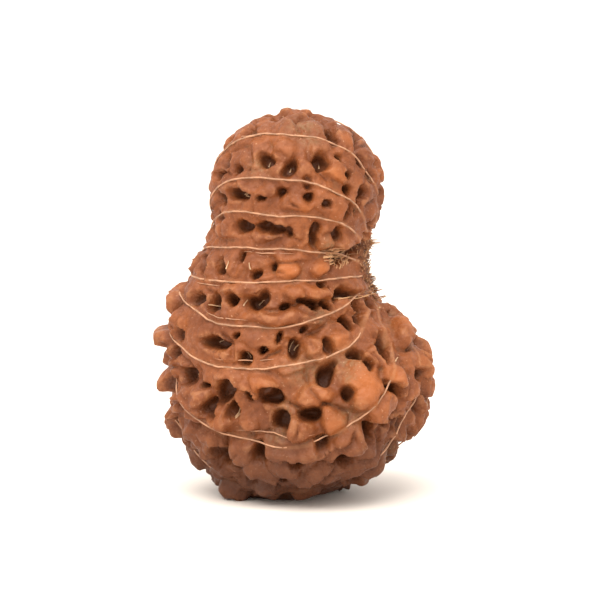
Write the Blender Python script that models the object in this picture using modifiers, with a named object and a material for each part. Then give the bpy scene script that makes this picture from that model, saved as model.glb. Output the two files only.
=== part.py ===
"""A rudraksha seed: one warty stone of two lobes, standing on its larger lobe.

Lengths are in millimetres until the mesh is made. The front is -Y, the stalk scar is in the notch at
the right, and the thin raised sutures run from the scar round the stone to the small tip at the back
left, as the lines between a fruit's segments do.
"""

import math

import bmesh
import bpy
import numpy as np
from mathutils import Matrix, noise

MM = 0.001
SEED_NAME = "rudraksha_seed"

# Driving dimensions: each lobe's centre, radii and tilt in degrees about the depth axis, which blend
# into the smooth body under the warts
UPPER_LOBE = ((0.0, 0.0, 25.6), (6.6, 6.0, 6.1), -5)
SHOULDER = ((-2.3, 0.0, 12.9), (7.7, 7.4, 10.5), -14)
LOWER_LOBE = ((2.3, 0.0, 7.5), (9.2, 9.0, 5.8), 35)
LOBES = (UPPER_LOBE, SHOULDER, LOWER_LOBE)
LOBE_BLEND = 1.6
HEART = (-0.8, 0.0, 16.6)
LARGEST_REACH = 26.0
HALVINGS = 30
SLOPE_STEP = 0.01
STEPS_ONTO_BODY = 6

# The poles that the sutures run between
STALK_POLE = (6.6, 1.0, 18.6)
TIP_POLE = (-7.6, 5.5, 18.6)

# Each suture's angle in degrees from the top, over the front: near the tip, midway and near the stalk
SUTURES = (
    (22, 30, 23), (38, 46, 42), (47, 57, 52), (67, 72, 68), (91, 89, 87),
    (103, 107, 106), (122, 120, 123), (137, 138, 137), (152, 153, 154), (170, 170, 170),
    (-172, -172, -172), (-153, -154, -153), (-134, -136, -135), (-117, -115, -116), (-97, -98, -97),
    (-79, -77, -78), (-60, -59, -60), (-41, -43, -42), (-22, -21, -22), (1, 4, 1),
)
FARTHEST_SHARE = 1.2
SUTURE_GROOVE = 0.36
SUTURE_DIP = 0.6
FULL_GROOVE_FROM_AXIS = 8.0
LEAST_GROOVE = 0.3
SUTURE_RAISE = 0.3
SUTURE_HALF_WIDTH = 0.26
SUTURE_SWAY = 0.16
SUTURE_SWAY_LENGTH = 2.6

# Relief: the lower lobe is coarse and the upper lobe fine, with the change at the waist
COARSE_RELIEF = 1.0
FINE_RELIEF = 0.5
COARSE_BELOW = 14.5
FINE_ABOVE = 22.0
BAND_SWELL = 0.12
LUMP_HEIGHT = 0.28
LUMP_LENGTH = 2.3
GRAIN_HEIGHT = 0.05
GRAIN_LENGTH = 0.7
SWAY_NOISE, LUMP_NOISE, GRAIN_NOISE = 3.0, 5.0, 9.0
EDGE_NOISE, BED_NOISE, FURROW_NOISE = 21.0, 31.0, 41.0
STRAY = 0.45
STRAY_LENGTH = 1.5
STRAY_NOISES = (17.0, 51.0, 87.0)
FURROW_DEPTH = 0.5
FURROW_LENGTH = 3.1
FURROW_WIDTH = 0.13
KNOB_RAISE = 0.85
KNOB_CROWN = 0.35
UPPER_BROW, LOWER_BROW = 0.55, 0.76
UPPER_FOOT, LOWER_FOOT = 1.3, 1.2
KNOB_TILT = 0.1
WELL_DEPTH = 1.75
WELL_SPREAD = 1.2
SHALLOWEST_WELL = 0.4
FULL_DEPTH_HALF_WIDTH = 0.6
WELL_RIM = 1.2
WELL_FLOOR = 0.5
FINE_WELLS = 0.8

# The front is seen from a little above, and its marks are placed as seen: across and up
SIGHT_ELEVATION = 9
SIGHT_START = 30.0
SIGHT_STEPS = 241
LEAST_FACING = 0.6
LEAST_TANGENT = 0.2
MARK_LIMIT = 2.2

# Marks on the sides and the back, scattered by a rule
SCATTER_SEED = 11
SCATTER_TRIES = 6000
FRONT_LIMIT = 0.4
LARGE_WELLS = {"spacing": 2.6, "sizes": (0.35, 0.65), "longest": 1.8, "suture": 0.75, "shares": (0.8, 1.1)}
SMALL_WELLS = {"spacing": 1.6, "sizes": (0.2, 0.32), "longest": 1.5, "suture": 0.4, "shares": (0.7, 1.0)}
LARGE_KNOBS = {"spacing": 2.3, "sizes": (1.05, 1.45), "longest": 1.8, "suture": 0.75, "shares": (0.55, 0.85)}
SMALL_KNOBS = {"spacing": 1.4, "sizes": (0.55, 0.85), "longest": 1.6, "suture": 0.35, "shares": (0.4, 0.7)}
WELL_TO_KNOB = 0.75
PLAIN_BELOW = 2.8

# The stalk scar and the tip
SCAR_SIGHT = (5.4, 19.3)
SCAR_RADIUS = 2.7
SCAR_LIFT = 0.35
SCAR_ROUGHNESS = 0.5
SCAR_GRAIN = 0.55
SCAR_EDGE = 0.9
SCAR_EDGE_STRAY = 0.5
SCAR_EDGE_LENGTH = 1.5
TIP_RADIUS = 1.3
TIP_FLOOR_RADIUS = 0.25
TIP_DEPTH = 0.5

# The small flat spot that the stone stands on
FOOT_CENTRE = (-1.1, 0.0)
FOOT_RADIUS = 2.9
FOOT_FADE = 2.6
FOOT_CUT = 0.45

# Mesh
SPHERE_SUBDIVISIONS = 6
EVEN_FACE = 0.26
EVENING = 0.5
EVENING_ROUNDS = 12
SOFTENING_ROUNDS = 2
TRIANGLES = 11800
TINY = 1e-9

# Pits of the front: across, up, half width, half height, lean of the top to the right in degrees
FRONT_WELLS = (
    # Crown, down to the second suture
    (-5.6, 27.5, 0.3, 0.4, 0), (-6.1, 26.4, 0.3, 0.3, 0), (-4.8, 26.6, 0.3, 0.4, 0),
    (-2.5, 27.5, 0.5, 0.5, 0), (-0.6, 26.9, 0.5, 0.8, 20), (2.8, 29.3, 0.4, 0.6, 0),
    (4.6, 29.3, 0.3, 0.7, 0), (2.0, 27.2, 0.5, 0.7, -10), (3.4, 27.6, 0.3, 0.3, 0),
    (5.2, 27.3, 0.4, 0.3, 20), (4.0, 26.3, 0.4, 0.3, 0), (3.8, 25.0, 0.4, 0.5, 10),
    (5.4, 25.0, 0.3, 0.4, 0), (6.1, 22.8, 0.3, 0.3, 0), (4.0, 23.4, 0.3, 0.7, 25),
    (4.9, 23.8, 0.3, 0.7, 20), (0.7, 25.7, 0.3, 0.3, 0), (5.9, 26.2, 0.3, 0.4, 10),
    # From the second suture down to the fourth
    (-4.7, 24.7, 0.7, 0.4, -10), (-1.3, 24.8, 0.4, 0.4, 0), (0.8, 24.7, 0.4, 0.4, 0),
    (-2.9, 24.4, 0.3, 0.3, 0), (-6.0, 24.5, 0.3, 0.3, 0), (2.4, 24.0, 0.3, 0.3, 0),
    (-5.9, 22.8, 0.3, 0.3, 0), (-4.2, 22.2, 0.6, 0.5, 0), (-2.1, 22.0, 1.2, 0.5, 0),
    (1.4, 21.4, 0.35, 0.8, 0), (3.2, 21.5, 0.4, 0.4, 0), (4.4, 20.2, 1.3, 0.45, 8),
    (-0.4, 21.8, 0.3, 0.4, 0), (-6.5, 21.8, 0.3, 0.3, 0), (5.3, 21.3, 0.4, 0.3, 0),
    # Waist, from the fourth suture down to the sixth
    (-7.4, 19.0, 0.3, 0.6, -8), (-6.0, 19.0, 0.4, 0.5, 0), (-4.3, 19.6, 0.3, 0.4, 0),
    (-1.8, 18.8, 0.3, 0.3, 0), (3.1, 19.3, 0.4, 0.3, 0), (1.7, 18.7, 0.3, 0.3, 0),
    (-3.2, 18.3, 0.4, 0.3, 0), (-8.0, 19.3, 0.3, 0.3, 0), (-8.1, 16.2, 0.5, 0.4, 0),
    (-6.8, 16.0, 0.4, 0.8, 0), (-5.3, 16.3, 0.5, 0.5, 10), (-3.4, 15.9, 0.6, 0.6, 0),
    (-2.8, 16.3, 0.4, 0.8, 25), (2.0, 17.4, 0.3, 0.3, 0), (1.0, 16.0, 0.9, 0.3, 15),
    (2.5, 15.6, 0.4, 0.3, 20), (4.4, 16.1, 0.9, 0.45, 25), (-1.0, 15.6, 0.4, 0.3, 0),
    (3.5, 16.6, 0.4, 0.3, 0), (-9.3, 18.3, 0.6, 0.45, 0), (-10.0, 15.2, 0.7, 0.5, 0),
    # From the sixth suture down to the seventh
    (-9.3, 13.6, 0.3, 0.5, 0), (-6.7, 12.8, 1.0, 0.6, 0), (-4.2, 11.5, 0.4, 0.5, -20),
    (-2.6, 12.2, 0.4, 0.4, 0), (-0.2, 12.4, 0.5, 0.7, 20), (0.7, 13.8, 0.3, 0.3, 0),
    (2.4, 12.5, 0.3, 0.8, 0), (3.9, 14.4, 0.6, 0.5, 0), (5.2, 14.6, 0.3, 0.5, 0),
    (5.8, 15.9, 0.3, 0.5, 20), (-1.4, 13.3, 0.3, 0.3, 0), (-4.7, 13.3, 0.3, 0.3, 0),
    # From the seventh suture down to the eighth
    (-8.9, 10.1, 0.6, 0.5, 0), (-5.8, 8.8, 0.7, 1.0, 35), (-6.9, 7.6, 0.5, 0.7, 35),
    (-5.0, 7.2, 0.4, 0.6, -20), (-2.0, 8.5, 1.0, 0.6, 15), (2.4, 10.1, 0.6, 0.9, 0),
    (4.7, 11.8, 0.6, 0.4, 15), (5.6, 11.0, 0.3, 0.4, 0), (4.0, 8.7, 0.4, 0.6, 10),
    (-1.2, 6.5, 0.6, 0.6, 20), (1.1, 7.0, 0.9, 0.6, 10), (6.9, 12.4, 0.55, 1.1, -8),
    (-3.8, 8.7, 0.3, 0.3, 0), (-9.6, 11.9, 0.3, 0.4, 0), (-7.4, 9.3, 0.3, 0.3, 0),
    (2.7, 11.1, 0.3, 0.3, 0),
    # Below the eighth suture
    (-9.1, 6.0, 0.5, 0.4, 25), (-5.7, 3.8, 0.8, 0.6, 0), (-2.9, 4.3, 0.4, 0.7, 15),
    (2.0, 5.0, 0.6, 0.5, 0), (3.6, 3.8, 0.9, 0.4, 25), (5.6, 5.6, 0.5, 0.7, 10),
    (-3.8, 1.7, 0.3, 0.3, 0), (0.2, 3.5, 0.5, 0.3, 0), (-7.5, 4.2, 0.4, 0.3, 0),
    (-1.1, 2.0, 0.4, 0.3, 0), (-4.7, 2.9, 0.4, 0.3, 0), (4.3, 2.3, 0.4, 0.3, 25),
    (7.4, 4.7, 0.4, 0.3, 30),
    # Right flank of the lower lobe
    (9.4, 13.5, 0.6, 0.3, -40), (9.8, 12.3, 0.3, 0.5, 0), (9.8, 10.3, 0.3, 0.4, 0),
    (7.6, 9.1, 0.7, 0.4, 30), (9.5, 7.7, 0.3, 0.5, 0), (7.9, 7.5, 0.3, 0.3, 0),
    (8.0, 6.1, 0.6, 0.4, 20), (8.6, 5.0, 0.5, 0.3, 40), (10.5, 11.3, 0.3, 0.3, 0),
    (7.0, 6.5, 0.4, 0.3, 20),
)

# Knobs and short ridges of the front: across, up, half width, half height, lean, share of full height
FRONT_KNOBS = (
    # Crown
    (-0.8, 31.7, 0.9, 0.6, 0, 0.9), (0.6, 31.4, 0.7, 0.6, 0, 0.7), (2.3, 31.0, 0.8, 0.5, 0, 0.3),
    (-3.0, 30.9, 1.0, 0.7, 0, 0.6), (1.5, 29.7, 1.0, 0.8, 0, 0.8), (3.7, 29.2, 0.8, 1.1, 0, 0.9),
    (-0.7, 29.9, 0.9, 0.7, 0, 0.7), (-1.1, 28.3, 0.9, 0.9, 0, 0.8), (1.5, 28.6, 1.2, 0.7, 0, 0.8),
    (-1.3, 26.6, 1.0, 0.7, 0, 0.7), (0.7, 26.7, 0.9, 1.0, 0, 0.8), (3.0, 26.6, 1.0, 1.0, 0, 0.9),
    (-3.6, 27.9, 0.8, 1.2, 0, 0.6), (6.8, 27.2, 0.7, 0.8, 0, 1.0), (7.0, 24.8, 0.6, 1.1, 0, 0.6),
    # From the second suture down to the fourth
    (0.1, 24.0, 1.3, 0.7, 0, 0.9), (2.7, 23.9, 1.6, 0.9, 35, 1.0), (-4.7, 25.3, 1.5, 0.5, 0, 0.6),
    (-2.5, 25.0, 0.9, 0.6, 0, 0.6), (-1.3, 22.7, 1.5, 0.7, 0, 0.8), (0.4, 21.9, 0.8, 1.3, 0, 0.8),
    (2.2, 21.6, 0.9, 1.2, 0, 0.8), (4.5, 21.1, 1.6, 0.6, 28, 1.0), (-2.4, 21.4, 1.5, 0.5, -10, 0.7),
    (-5.8, 22.2, 1.0, 0.8, 0, 0.7), (-6.9, 22.9, 0.6, 0.6, 0, 0.7), (-7.5, 21.3, 0.7, 0.7, 0, 1.0),
    # Waist
    (-0.7, 19.8, 1.6, 0.5, 0, 0.8), (-0.8, 18.5, 1.0, 0.8, 0, 1.0), (1.7, 18.8, 0.8, 0.8, 0, 1.0),
    (-3.2, 19.3, 1.2, 0.8, 0, 0.7), (-5.0, 19.1, 0.8, 1.0, 0, 0.7), (-6.8, 19.3, 0.5, 1.0, 0, 0.7),
    (-8.7, 19.4, 0.8, 0.7, 0, 1.2), (-4.2, 17.1, 1.9, 0.7, 0, 0.9), (1.0, 16.8, 2.2, 0.7, 0, 0.9),
    (-2.9, 18.2, 1.2, 0.5, 0, 0.5), (-10.2, 16.9, 1.0, 0.95, 0, 1.35), (-1.2, 14.7, 2.7, 0.6, 0, 0.8),
    (4.5, 17.7, 1.1, 0.9, 0, 0.5),
    # From the sixth suture down to the seventh
    (-10.9, 13.5, 1.0, 0.95, 0, 1.4), (3.3, 12.9, 1.0, 0.9, 0, 0.9), (1.5, 12.2, 0.9, 0.9, 0, 0.8),
    (-2.5, 12.9, 1.6, 0.8, 0, 0.3), (-9.9, 11.9, 0.7, 1.1, 0, 0.5), (-5.4, 12.0, 0.9, 0.8, 0, 0.5),
    # Lower lobe
    (8.2, 13.7, 0.7, 1.4, -15, 1.2), (-3.1, 9.4, 1.8, 1.0, 5, 1.0), (-5.2, 10.1, 1.3, 0.9, 0, 0.7),
    (5.3, 9.1, 1.6, 2.2, -25, 1.1), (1.5, 8.5, 1.6, 0.8, 0, 0.8), (0.3, 6.0, 1.1, 1.1, 0, 1.0),
    (2.9, 6.5, 1.2, 1.1, 0, 1.0), (7.6, 10.2, 1.0, 0.9, 0, 1.0), (6.8, 7.8, 1.3, 1.0, -30, 0.9),
    (-6.1, 6.8, 1.3, 1.3, 30, 1.1), (-8.2, 8.2, 1.4, 1.4, 30, 1.0), (-7.3, 5.0, 1.6, 1.0, 0, 0.9),
    (-4.2, 4.2, 1.1, 1.1, 0, 0.9), (-1.6, 4.3, 1.0, 0.8, 0, 0.7), (0.6, 4.4, 3.9, 0.75, 0, 0.9),
    (4.2, 5.3, 1.2, 1.3, 0, 0.9), (-3.7, 6.6, 0.9, 0.8, 0, 0.6), (5.1, 3.1, 1.8, 1.4, -35, 1.0),
    (1.6, 2.7, 4.4, 0.9, 3, 0.75), (9.4, 6.5, 1.2, 0.9, -25, 0.9), (10.1, 10.9, 0.9, 0.9, 0, 0.7),
    (-0.4, 11.0, 1.4, 0.6, 0, 0.5), (6.5, 11.6, 0.9, 0.8, 0, 0.6), (9.1, 9.1, 0.9, 0.8, 0, 0.6),
    (-10.7, 6.2, 0.9, 0.8, 0, 1.3), (-11.0, 9.6, 0.9, 1.0, 0, 1.1), (-8.2, 3.9, 0.8, 0.7, 0, 0.6),
    (-4.9, 1.1, 1.0, 0.6, 0, 1.0), (-2.4, 0.9, 0.9, 0.4, 0, 0.6), (0.6, 0.8, 1.2, 0.4, 0, 0.5),
    (7.9, 15.8, 1.1, 0.7, 30, 0.8), (10.9, 12.3, 0.8, 0.8, 0, 0.7), (11.0, 9.1, 0.7, 0.8, 0, 0.5),
    (-6.5, 3.0, 1.1, 0.7, 20, 0.6), (-2.9, 2.7, 1.7, 0.7, 12, 0.9), (7.4, 3.4, 1.2, 0.9, -40, 0.7),
)


def unit(vectors):
    """The vectors at length 1, whether one or many."""
    return vectors / (np.linalg.norm(vectors, axis=-1, keepdims=True) + TINY)


def smooth_step(low, high, values):
    """0 below low, 1 above high, and an even curve between."""
    share = np.clip((values - low) / (high - low), 0.0, 1.0)
    return share * share * (3.0 - 2.0 * share)


def body_distance(points):
    """About how far each point lies outside the smooth body, and negative inside it."""
    found = []
    for centre, radii, tilt in LOBES:
        away = points - np.array(centre)
        cos_tilt = math.cos(math.radians(tilt))
        sin_tilt = math.sin(math.radians(tilt))
        across = away[:, 0] * cos_tilt + away[:, 2] * sin_tilt
        up = away[:, 2] * cos_tilt - away[:, 0] * sin_tilt
        away = np.stack([across, away[:, 1], up], axis=1)
        reach = np.linalg.norm(away / radii, axis=1) + TINY
        slope = np.linalg.norm(away / np.square(radii), axis=1) + TINY
        found.append(reach * (reach - 1.0) / slope)
    found = np.array(found)
    nearest = found.min(axis=0)
    return nearest - LOBE_BLEND * np.log(np.exp((nearest - found) / LOBE_BLEND).sum(axis=0))


def body_normals(points):
    """The way out of the smooth body at each point, from its distance a little to each side."""
    slopes = []
    for axis in range(3):
        nudge = np.zeros(3)
        nudge[axis] = SLOPE_STEP
        slopes.append(body_distance(points + nudge) - body_distance(points - nudge))
    return unit(np.stack(slopes, axis=1))


def onto_body(points):
    """The points moved along the body's slope until they lie on it."""
    for _ in range(STEPS_ONTO_BODY):
        points = points - body_normals(points) * body_distance(points)[:, None]
    return points


def cast_out(starts, directions):
    """Where straight lines from these places inside the smooth body leave it."""
    low = np.zeros(len(directions))
    high = np.full(len(directions), LARGEST_REACH)
    for _ in range(HALVINGS):
        middle = (low + high) / 2
        inside = body_distance(starts + directions * middle[:, None]) < 0
        low = np.where(inside, middle, low)
        high = np.where(inside, high, middle)
    return starts + directions * low[:, None]


def sight_axes():
    """Across, up and away for an eye in front of the stone and a little above it."""
    rise = math.radians(SIGHT_ELEVATION)
    across = np.array([1.0, 0.0, 0.0])
    up = np.array([0.0, math.sin(rise), math.cos(rise)])
    away = np.array([0.0, math.cos(rise), -math.sin(rise)])
    return across, up, away


def seen_on_front(marks):
    """The body's points that the eye sees at these places, across and up. Past its edge, the nearest."""
    across, up, away = sight_axes()
    depths = np.linspace(0.0, 2 * SIGHT_START, SIGHT_STEPS)
    found = []
    for mark in marks:
        start = across * mark[0] + up * mark[1] - away * SIGHT_START
        line = start + away * depths[:, None]
        distances = body_distance(line)
        inside = np.flatnonzero(distances < 0)
        first = inside[0] if len(inside) else distances.argmin()
        found.append(line[first])
    return onto_body(np.array(found))


def pole_axes():
    """From the tip to the stalk, and unit vectors square to that, to the top and to the front."""
    axis = np.array(STALK_POLE) - np.array(TIP_POLE)
    along = unit(axis)
    top = unit(np.array([0.0, 0.0, 1.0]) - along * along[2])
    front = np.cross(top, along)
    return axis, top, front if front[1] < 0 else -front


def meridian_place(points):
    """Share of the way from the tip to the stalk, distance from their axis, and angle from the top."""
    axis, top, front = pole_axes()
    away = points - np.array(TIP_POLE)
    share = away @ axis / (axis @ axis)
    rise = away @ top
    forward = away @ front
    return share, np.hypot(rise, forward), np.arctan2(forward, rise)


def suture_angle(suture, share):
    """A suture's angle at each share of the way, on a smooth curve through its three angles."""
    near_tip, midway, near_stalk = np.radians(suture)
    share = np.clip(share, 0.0, FARTHEST_SHARE)
    at_tip = 2 * (share - 0.5) * (share - 1)
    at_middle = 4 * share * (1 - share)
    at_stalk = 2 * share * (share - 0.5)
    return near_tip * at_tip + midway * at_middle + near_stalk * at_stalk


def suture_distance(points):
    """How far each point is from the nearest suture, and from the axis that the sutures turn about."""
    share, radius, angle = meridian_place(points)
    sway = noise_at(points, SUTURE_SWAY_LENGTH, SWAY_NOISE) * SUTURE_SWAY
    nearest = np.full(len(points), LARGEST_REACH)
    for suture in SUTURES:
        turn = angle - suture_angle(suture, share)
        beside = np.abs(radius * np.sin(turn) + sway)
        nearest = np.where(np.cos(turn) > 0, np.minimum(nearest, beside), nearest)
    return nearest, radius


def noise_at(points, length, shift):
    """Smooth noise between -1 and 1 whose lumps are about this long."""
    places = points / length + shift
    return np.array([noise.noise(place) for place in places.tolist()])


def strayed(points):
    """The points moved about a little, so that round marks come out uneven."""
    moves = [noise_at(points, STRAY_LENGTH, shift) for shift in STRAY_NOISES]
    return points + STRAY * np.stack(moves, axis=1)


def mark_frame(centre, normal):
    """Unit vectors across and up on the surface at a mark."""
    across = np.array([1.0, 0.0, 0.0])
    across = across - normal * normal[0]
    if np.linalg.norm(across) < LEAST_TANGENT:
        across = np.array([0.0, 1.0, 0.0]) - normal * normal[1]
    across = unit(across)
    up = np.cross(across, normal)
    return across, up if up[2] > 0 else -up


def front_marks(rows):
    """Marks seen on the front as (centre, across, up, half width, half height, share of full height)."""
    sight_across, sight_up, _ = sight_axes()
    centres = seen_on_front(rows)
    normals = body_normals(centres)
    marks = []
    for row, centre, normal in zip(rows, centres, normals):
        half_width, half_height, lean = row[2:5]
        share = row[5] if len(row) > 5 else 1.0
        across, up = mark_frame(centre, normal)
        half_width = half_width / max(abs(across @ sight_across), LEAST_FACING)
        half_height = half_height / max(abs(up @ sight_up), LEAST_FACING)
        turn = math.radians(lean)
        turned_across = across * math.cos(turn) - up * math.sin(turn)
        turned_up = up * math.cos(turn) + across * math.sin(turn)
        marks.append((centre, turned_across, turned_up, half_width, half_height, share))
    return marks


def scatter(rule, same_kind, other_kind, draw):
    """Marks on the sides and the back, clear of each other, the sutures and the scar."""
    directions = unit(draw.normal(size=(SCATTER_TRIES, 3)))
    points = cast_out(np.array(HEART), directions)
    normals = body_normals(points)
    away = sight_axes()[2]
    free = normals @ -away < FRONT_LIMIT
    free &= suture_distance(points)[0] > rule["suture"]
    free &= np.linalg.norm(points - scar_centre(), axis=1) > SCAR_RADIUS
    free &= (points[:, 2] > PLAIN_BELOW) | (normals @ away > 0.0)
    placed = [mark[0] for mark in same_kind]
    others = np.array([mark[0] for mark in other_kind])
    marks = []
    for point, normal in zip(points[free], normals[free]):
        if np.linalg.norm(np.array(placed) - point, axis=1).min() < rule["spacing"]:
            continue
        if np.linalg.norm(others - point, axis=1).min() < WELL_TO_KNOB:
            continue
        placed.append(point)
        across, up = mark_frame(point, normal)
        turn = draw.uniform(0.0, math.pi)
        turned_across = across * math.cos(turn) - up * math.sin(turn)
        turned_up = up * math.cos(turn) + across * math.sin(turn)
        size = draw.uniform(*rule["sizes"])
        length = size * draw.uniform(1.0, rule["longest"])
        marks.append((point, turned_across, turned_up, size, length, draw.uniform(*rule["shares"])))
    return marks


def scar_centre():
    """The middle of the stalk scar, on the smooth body in the notch."""
    return seen_on_front((SCAR_SIGHT,))[0]


def tip_centre():
    """Where the axis leaves the smooth body at the tip."""
    return cast_out(np.array(HEART), unit(np.array(TIP_POLE) - np.array(HEART))[None])[0]


def all_marks():
    """The pits and the knobs of the whole stone."""
    draw = np.random.default_rng(SCATTER_SEED)
    wells = front_marks(FRONT_WELLS)
    knobs = front_marks(FRONT_KNOBS)
    for rule in (LARGE_WELLS, SMALL_WELLS):
        wells += scatter(rule, wells, knobs, draw)
    for rule in (LARGE_KNOBS, SMALL_KNOBS):
        knobs += scatter(rule, knobs, wells, draw)
    return wells, knobs


def mark_reach(points, mark):
    """Each point's distance from a mark's centre, counted in the mark's own half sizes."""
    centre, across, up, half_width, half_height, _ = mark
    away = points - centre
    reach = np.hypot(away @ across / half_width, away @ up / half_height)
    near = np.linalg.norm(away, axis=1) < MARK_LIMIT * max(half_width, half_height)
    return np.where(near, reach, LARGEST_REACH)


def relief(points, wells, knobs):
    """How far the skin stands out from the smooth body at each point."""
    moved = strayed(points)
    rise = np.zeros(len(points))
    for mark in knobs:
        reach = mark_reach(moved, mark)
        lowness = smooth_step(-1.0, 1.0, (mark[0][2] - moved[:, 2]) / min(mark[3], mark[4]))
        brow = UPPER_BROW + (LOWER_BROW - UPPER_BROW) * lowness
        foot = UPPER_FOOT + (LOWER_FOOT - UPPER_FOOT) * lowness
        flat = (1.0 - smooth_step(brow, foot, reach)) * (1.0 - KNOB_TILT + 2.0 * KNOB_TILT * lowness)
        crown = KNOB_CROWN * np.clip(1.0 - np.square(reach), 0.0, 1.0)
        rise = np.maximum(rise, KNOB_RAISE * mark[5] * (flat + crown))
    hollow = np.zeros(len(points))
    for mark in wells:
        reach = mark_reach(moved, mark) / WELL_SPREAD
        size_share = SHALLOWEST_WELL + (1.0 - SHALLOWEST_WELL) * mark[3] / FULL_DEPTH_HALF_WIDTH
        depth = WELL_DEPTH * mark[5] * min(1.0, size_share)
        hollow = np.maximum(hollow, depth * (1.0 - smooth_step(WELL_FLOOR, WELL_RIM, reach)))
    gap, from_axis = suture_distance(points)
    groove = SUTURE_GROOVE * np.clip(from_axis / FULL_GROOVE_FROM_AXIS, LEAST_GROOVE, 1.0)
    band = 1.0 - SUTURE_DIP * np.exp(-np.square(gap / groove))
    coarseness = 1.0 - smooth_step(COARSE_BELOW, FINE_ABOVE, points[:, 2])
    knob_strength = FINE_RELIEF + (COARSE_RELIEF - FINE_RELIEF) * coarseness
    well_strength = FINE_WELLS + (COARSE_RELIEF - FINE_WELLS) * coarseness
    lumps = LUMP_HEIGHT * noise_at(points, LUMP_LENGTH, LUMP_NOISE)
    furrow = np.clip(1.0 - np.abs(noise_at(moved, FURROW_LENGTH, FURROW_NOISE)) / FURROW_WIDTH, 0.0, 1.0)
    hollow = np.maximum(hollow, FURROW_DEPTH * furrow * smooth_step(groove, 2 * groove, gap))
    height = band * (knob_strength * (BAND_SWELL + rise + lumps) - well_strength * hollow)
    height += GRAIN_HEIGHT * noise_at(points, GRAIN_LENGTH, GRAIN_NOISE)
    height += SUTURE_RAISE * np.exp(-np.square(gap / SUTURE_HALF_WIDTH))
    return with_poles_and_foot(points, height)


def with_poles_and_foot(points, height):
    """The relief with the scar, the dimple at the tip and the even patch of the foot worked in."""
    from_scar = np.linalg.norm(points - scar_centre(), axis=1)
    from_scar = from_scar + SCAR_EDGE_STRAY * noise_at(points, SCAR_EDGE_LENGTH, EDGE_NOISE)
    scar = 1.0 - smooth_step(SCAR_RADIUS - SCAR_EDGE, SCAR_RADIUS, from_scar)
    bed = SCAR_ROUGHNESS * noise_at(points, SCAR_GRAIN, BED_NOISE) + SCAR_LIFT
    height = height * (1.0 - scar) + bed * scar
    from_tip = np.linalg.norm(points - tip_centre(), axis=1)
    height = height - TIP_DEPTH * (1.0 - smooth_step(TIP_FLOOR_RADIUS, TIP_RADIUS, from_tip))
    from_foot = np.hypot(points[:, 0] - FOOT_CENTRE[0], points[:, 1] - FOOT_CENTRE[1])
    under = (points[:, 2] < HEART[2]).astype(float)
    foot = under * (1.0 - smooth_step(FOOT_RADIUS, FOOT_RADIUS + FOOT_FADE, from_foot))
    return height * (1.0 - foot) + BAND_SWELL * foot


def foot_level():
    """The height at which the flat spot cuts the even patch, in the smooth body's own frame."""
    down = np.array([FOOT_CENTRE[0], FOOT_CENTRE[1], 0.0]) - np.array(HEART)
    lowest = cast_out(np.array(HEART), unit(down)[None])[0]
    return lowest[2] - BAND_SWELL + FOOT_CUT


def mesh_points(mesh):
    """A mesh's points as rows."""
    points = np.empty(len(mesh.vertices) * 3)
    mesh.vertices.foreach_get("co", points)
    return points.reshape(-1, 3)


def set_mesh_points(mesh, points):
    """Moves a mesh's points to these rows."""
    mesh.vertices.foreach_set("co", np.ascontiguousarray(points).ravel())
    mesh.update()


def with_modifier_applied(seed, kind, settings):
    """Gives the object the mesh that one modifier makes of it."""
    modifier = seed.modifiers.new(kind.title(), kind)
    for name, value in settings.items():
        setattr(modifier, name, value)
    bpy.context.view_layer.update()
    evaluated = seed.evaluated_get(bpy.context.evaluated_depsgraph_get())
    made = bpy.data.meshes.new_from_object(evaluated)
    seed.modifiers.clear()
    old = seed.data
    seed.data = made
    bpy.data.meshes.remove(old)


def cut_foot(mesh, level):
    """Cuts the flat spot and closes it with one face."""
    shape = bmesh.new()
    shape.from_mesh(mesh)
    everything = shape.verts[:] + shape.edges[:] + shape.faces[:]
    bmesh.ops.bisect_plane(
        shape, geom=everything, dist=TINY, plane_co=(0, 0, level), plane_no=(0, 0, -1), clear_outer=True
    )
    rim = [edge for edge in shape.edges if edge.is_boundary]
    bmesh.ops.contextual_create(shape, geom=rim)
    bmesh.ops.recalc_face_normals(shape, faces=shape.faces[:])
    shape.to_mesh(mesh)
    shape.free()


def warm_brown():
    """The stone's satin red-brown."""
    material = bpy.data.materials.new("seed_brown")
    material.use_nodes = True
    shader = material.node_tree.nodes["Principled BSDF"]
    shader.inputs["Base Color"].default_value = (0.35, 0.13, 0.06, 1.0)
    shader.inputs["Roughness"].default_value = 0.45
    shader.inputs["Metallic"].default_value = 0.0
    return material


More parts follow.
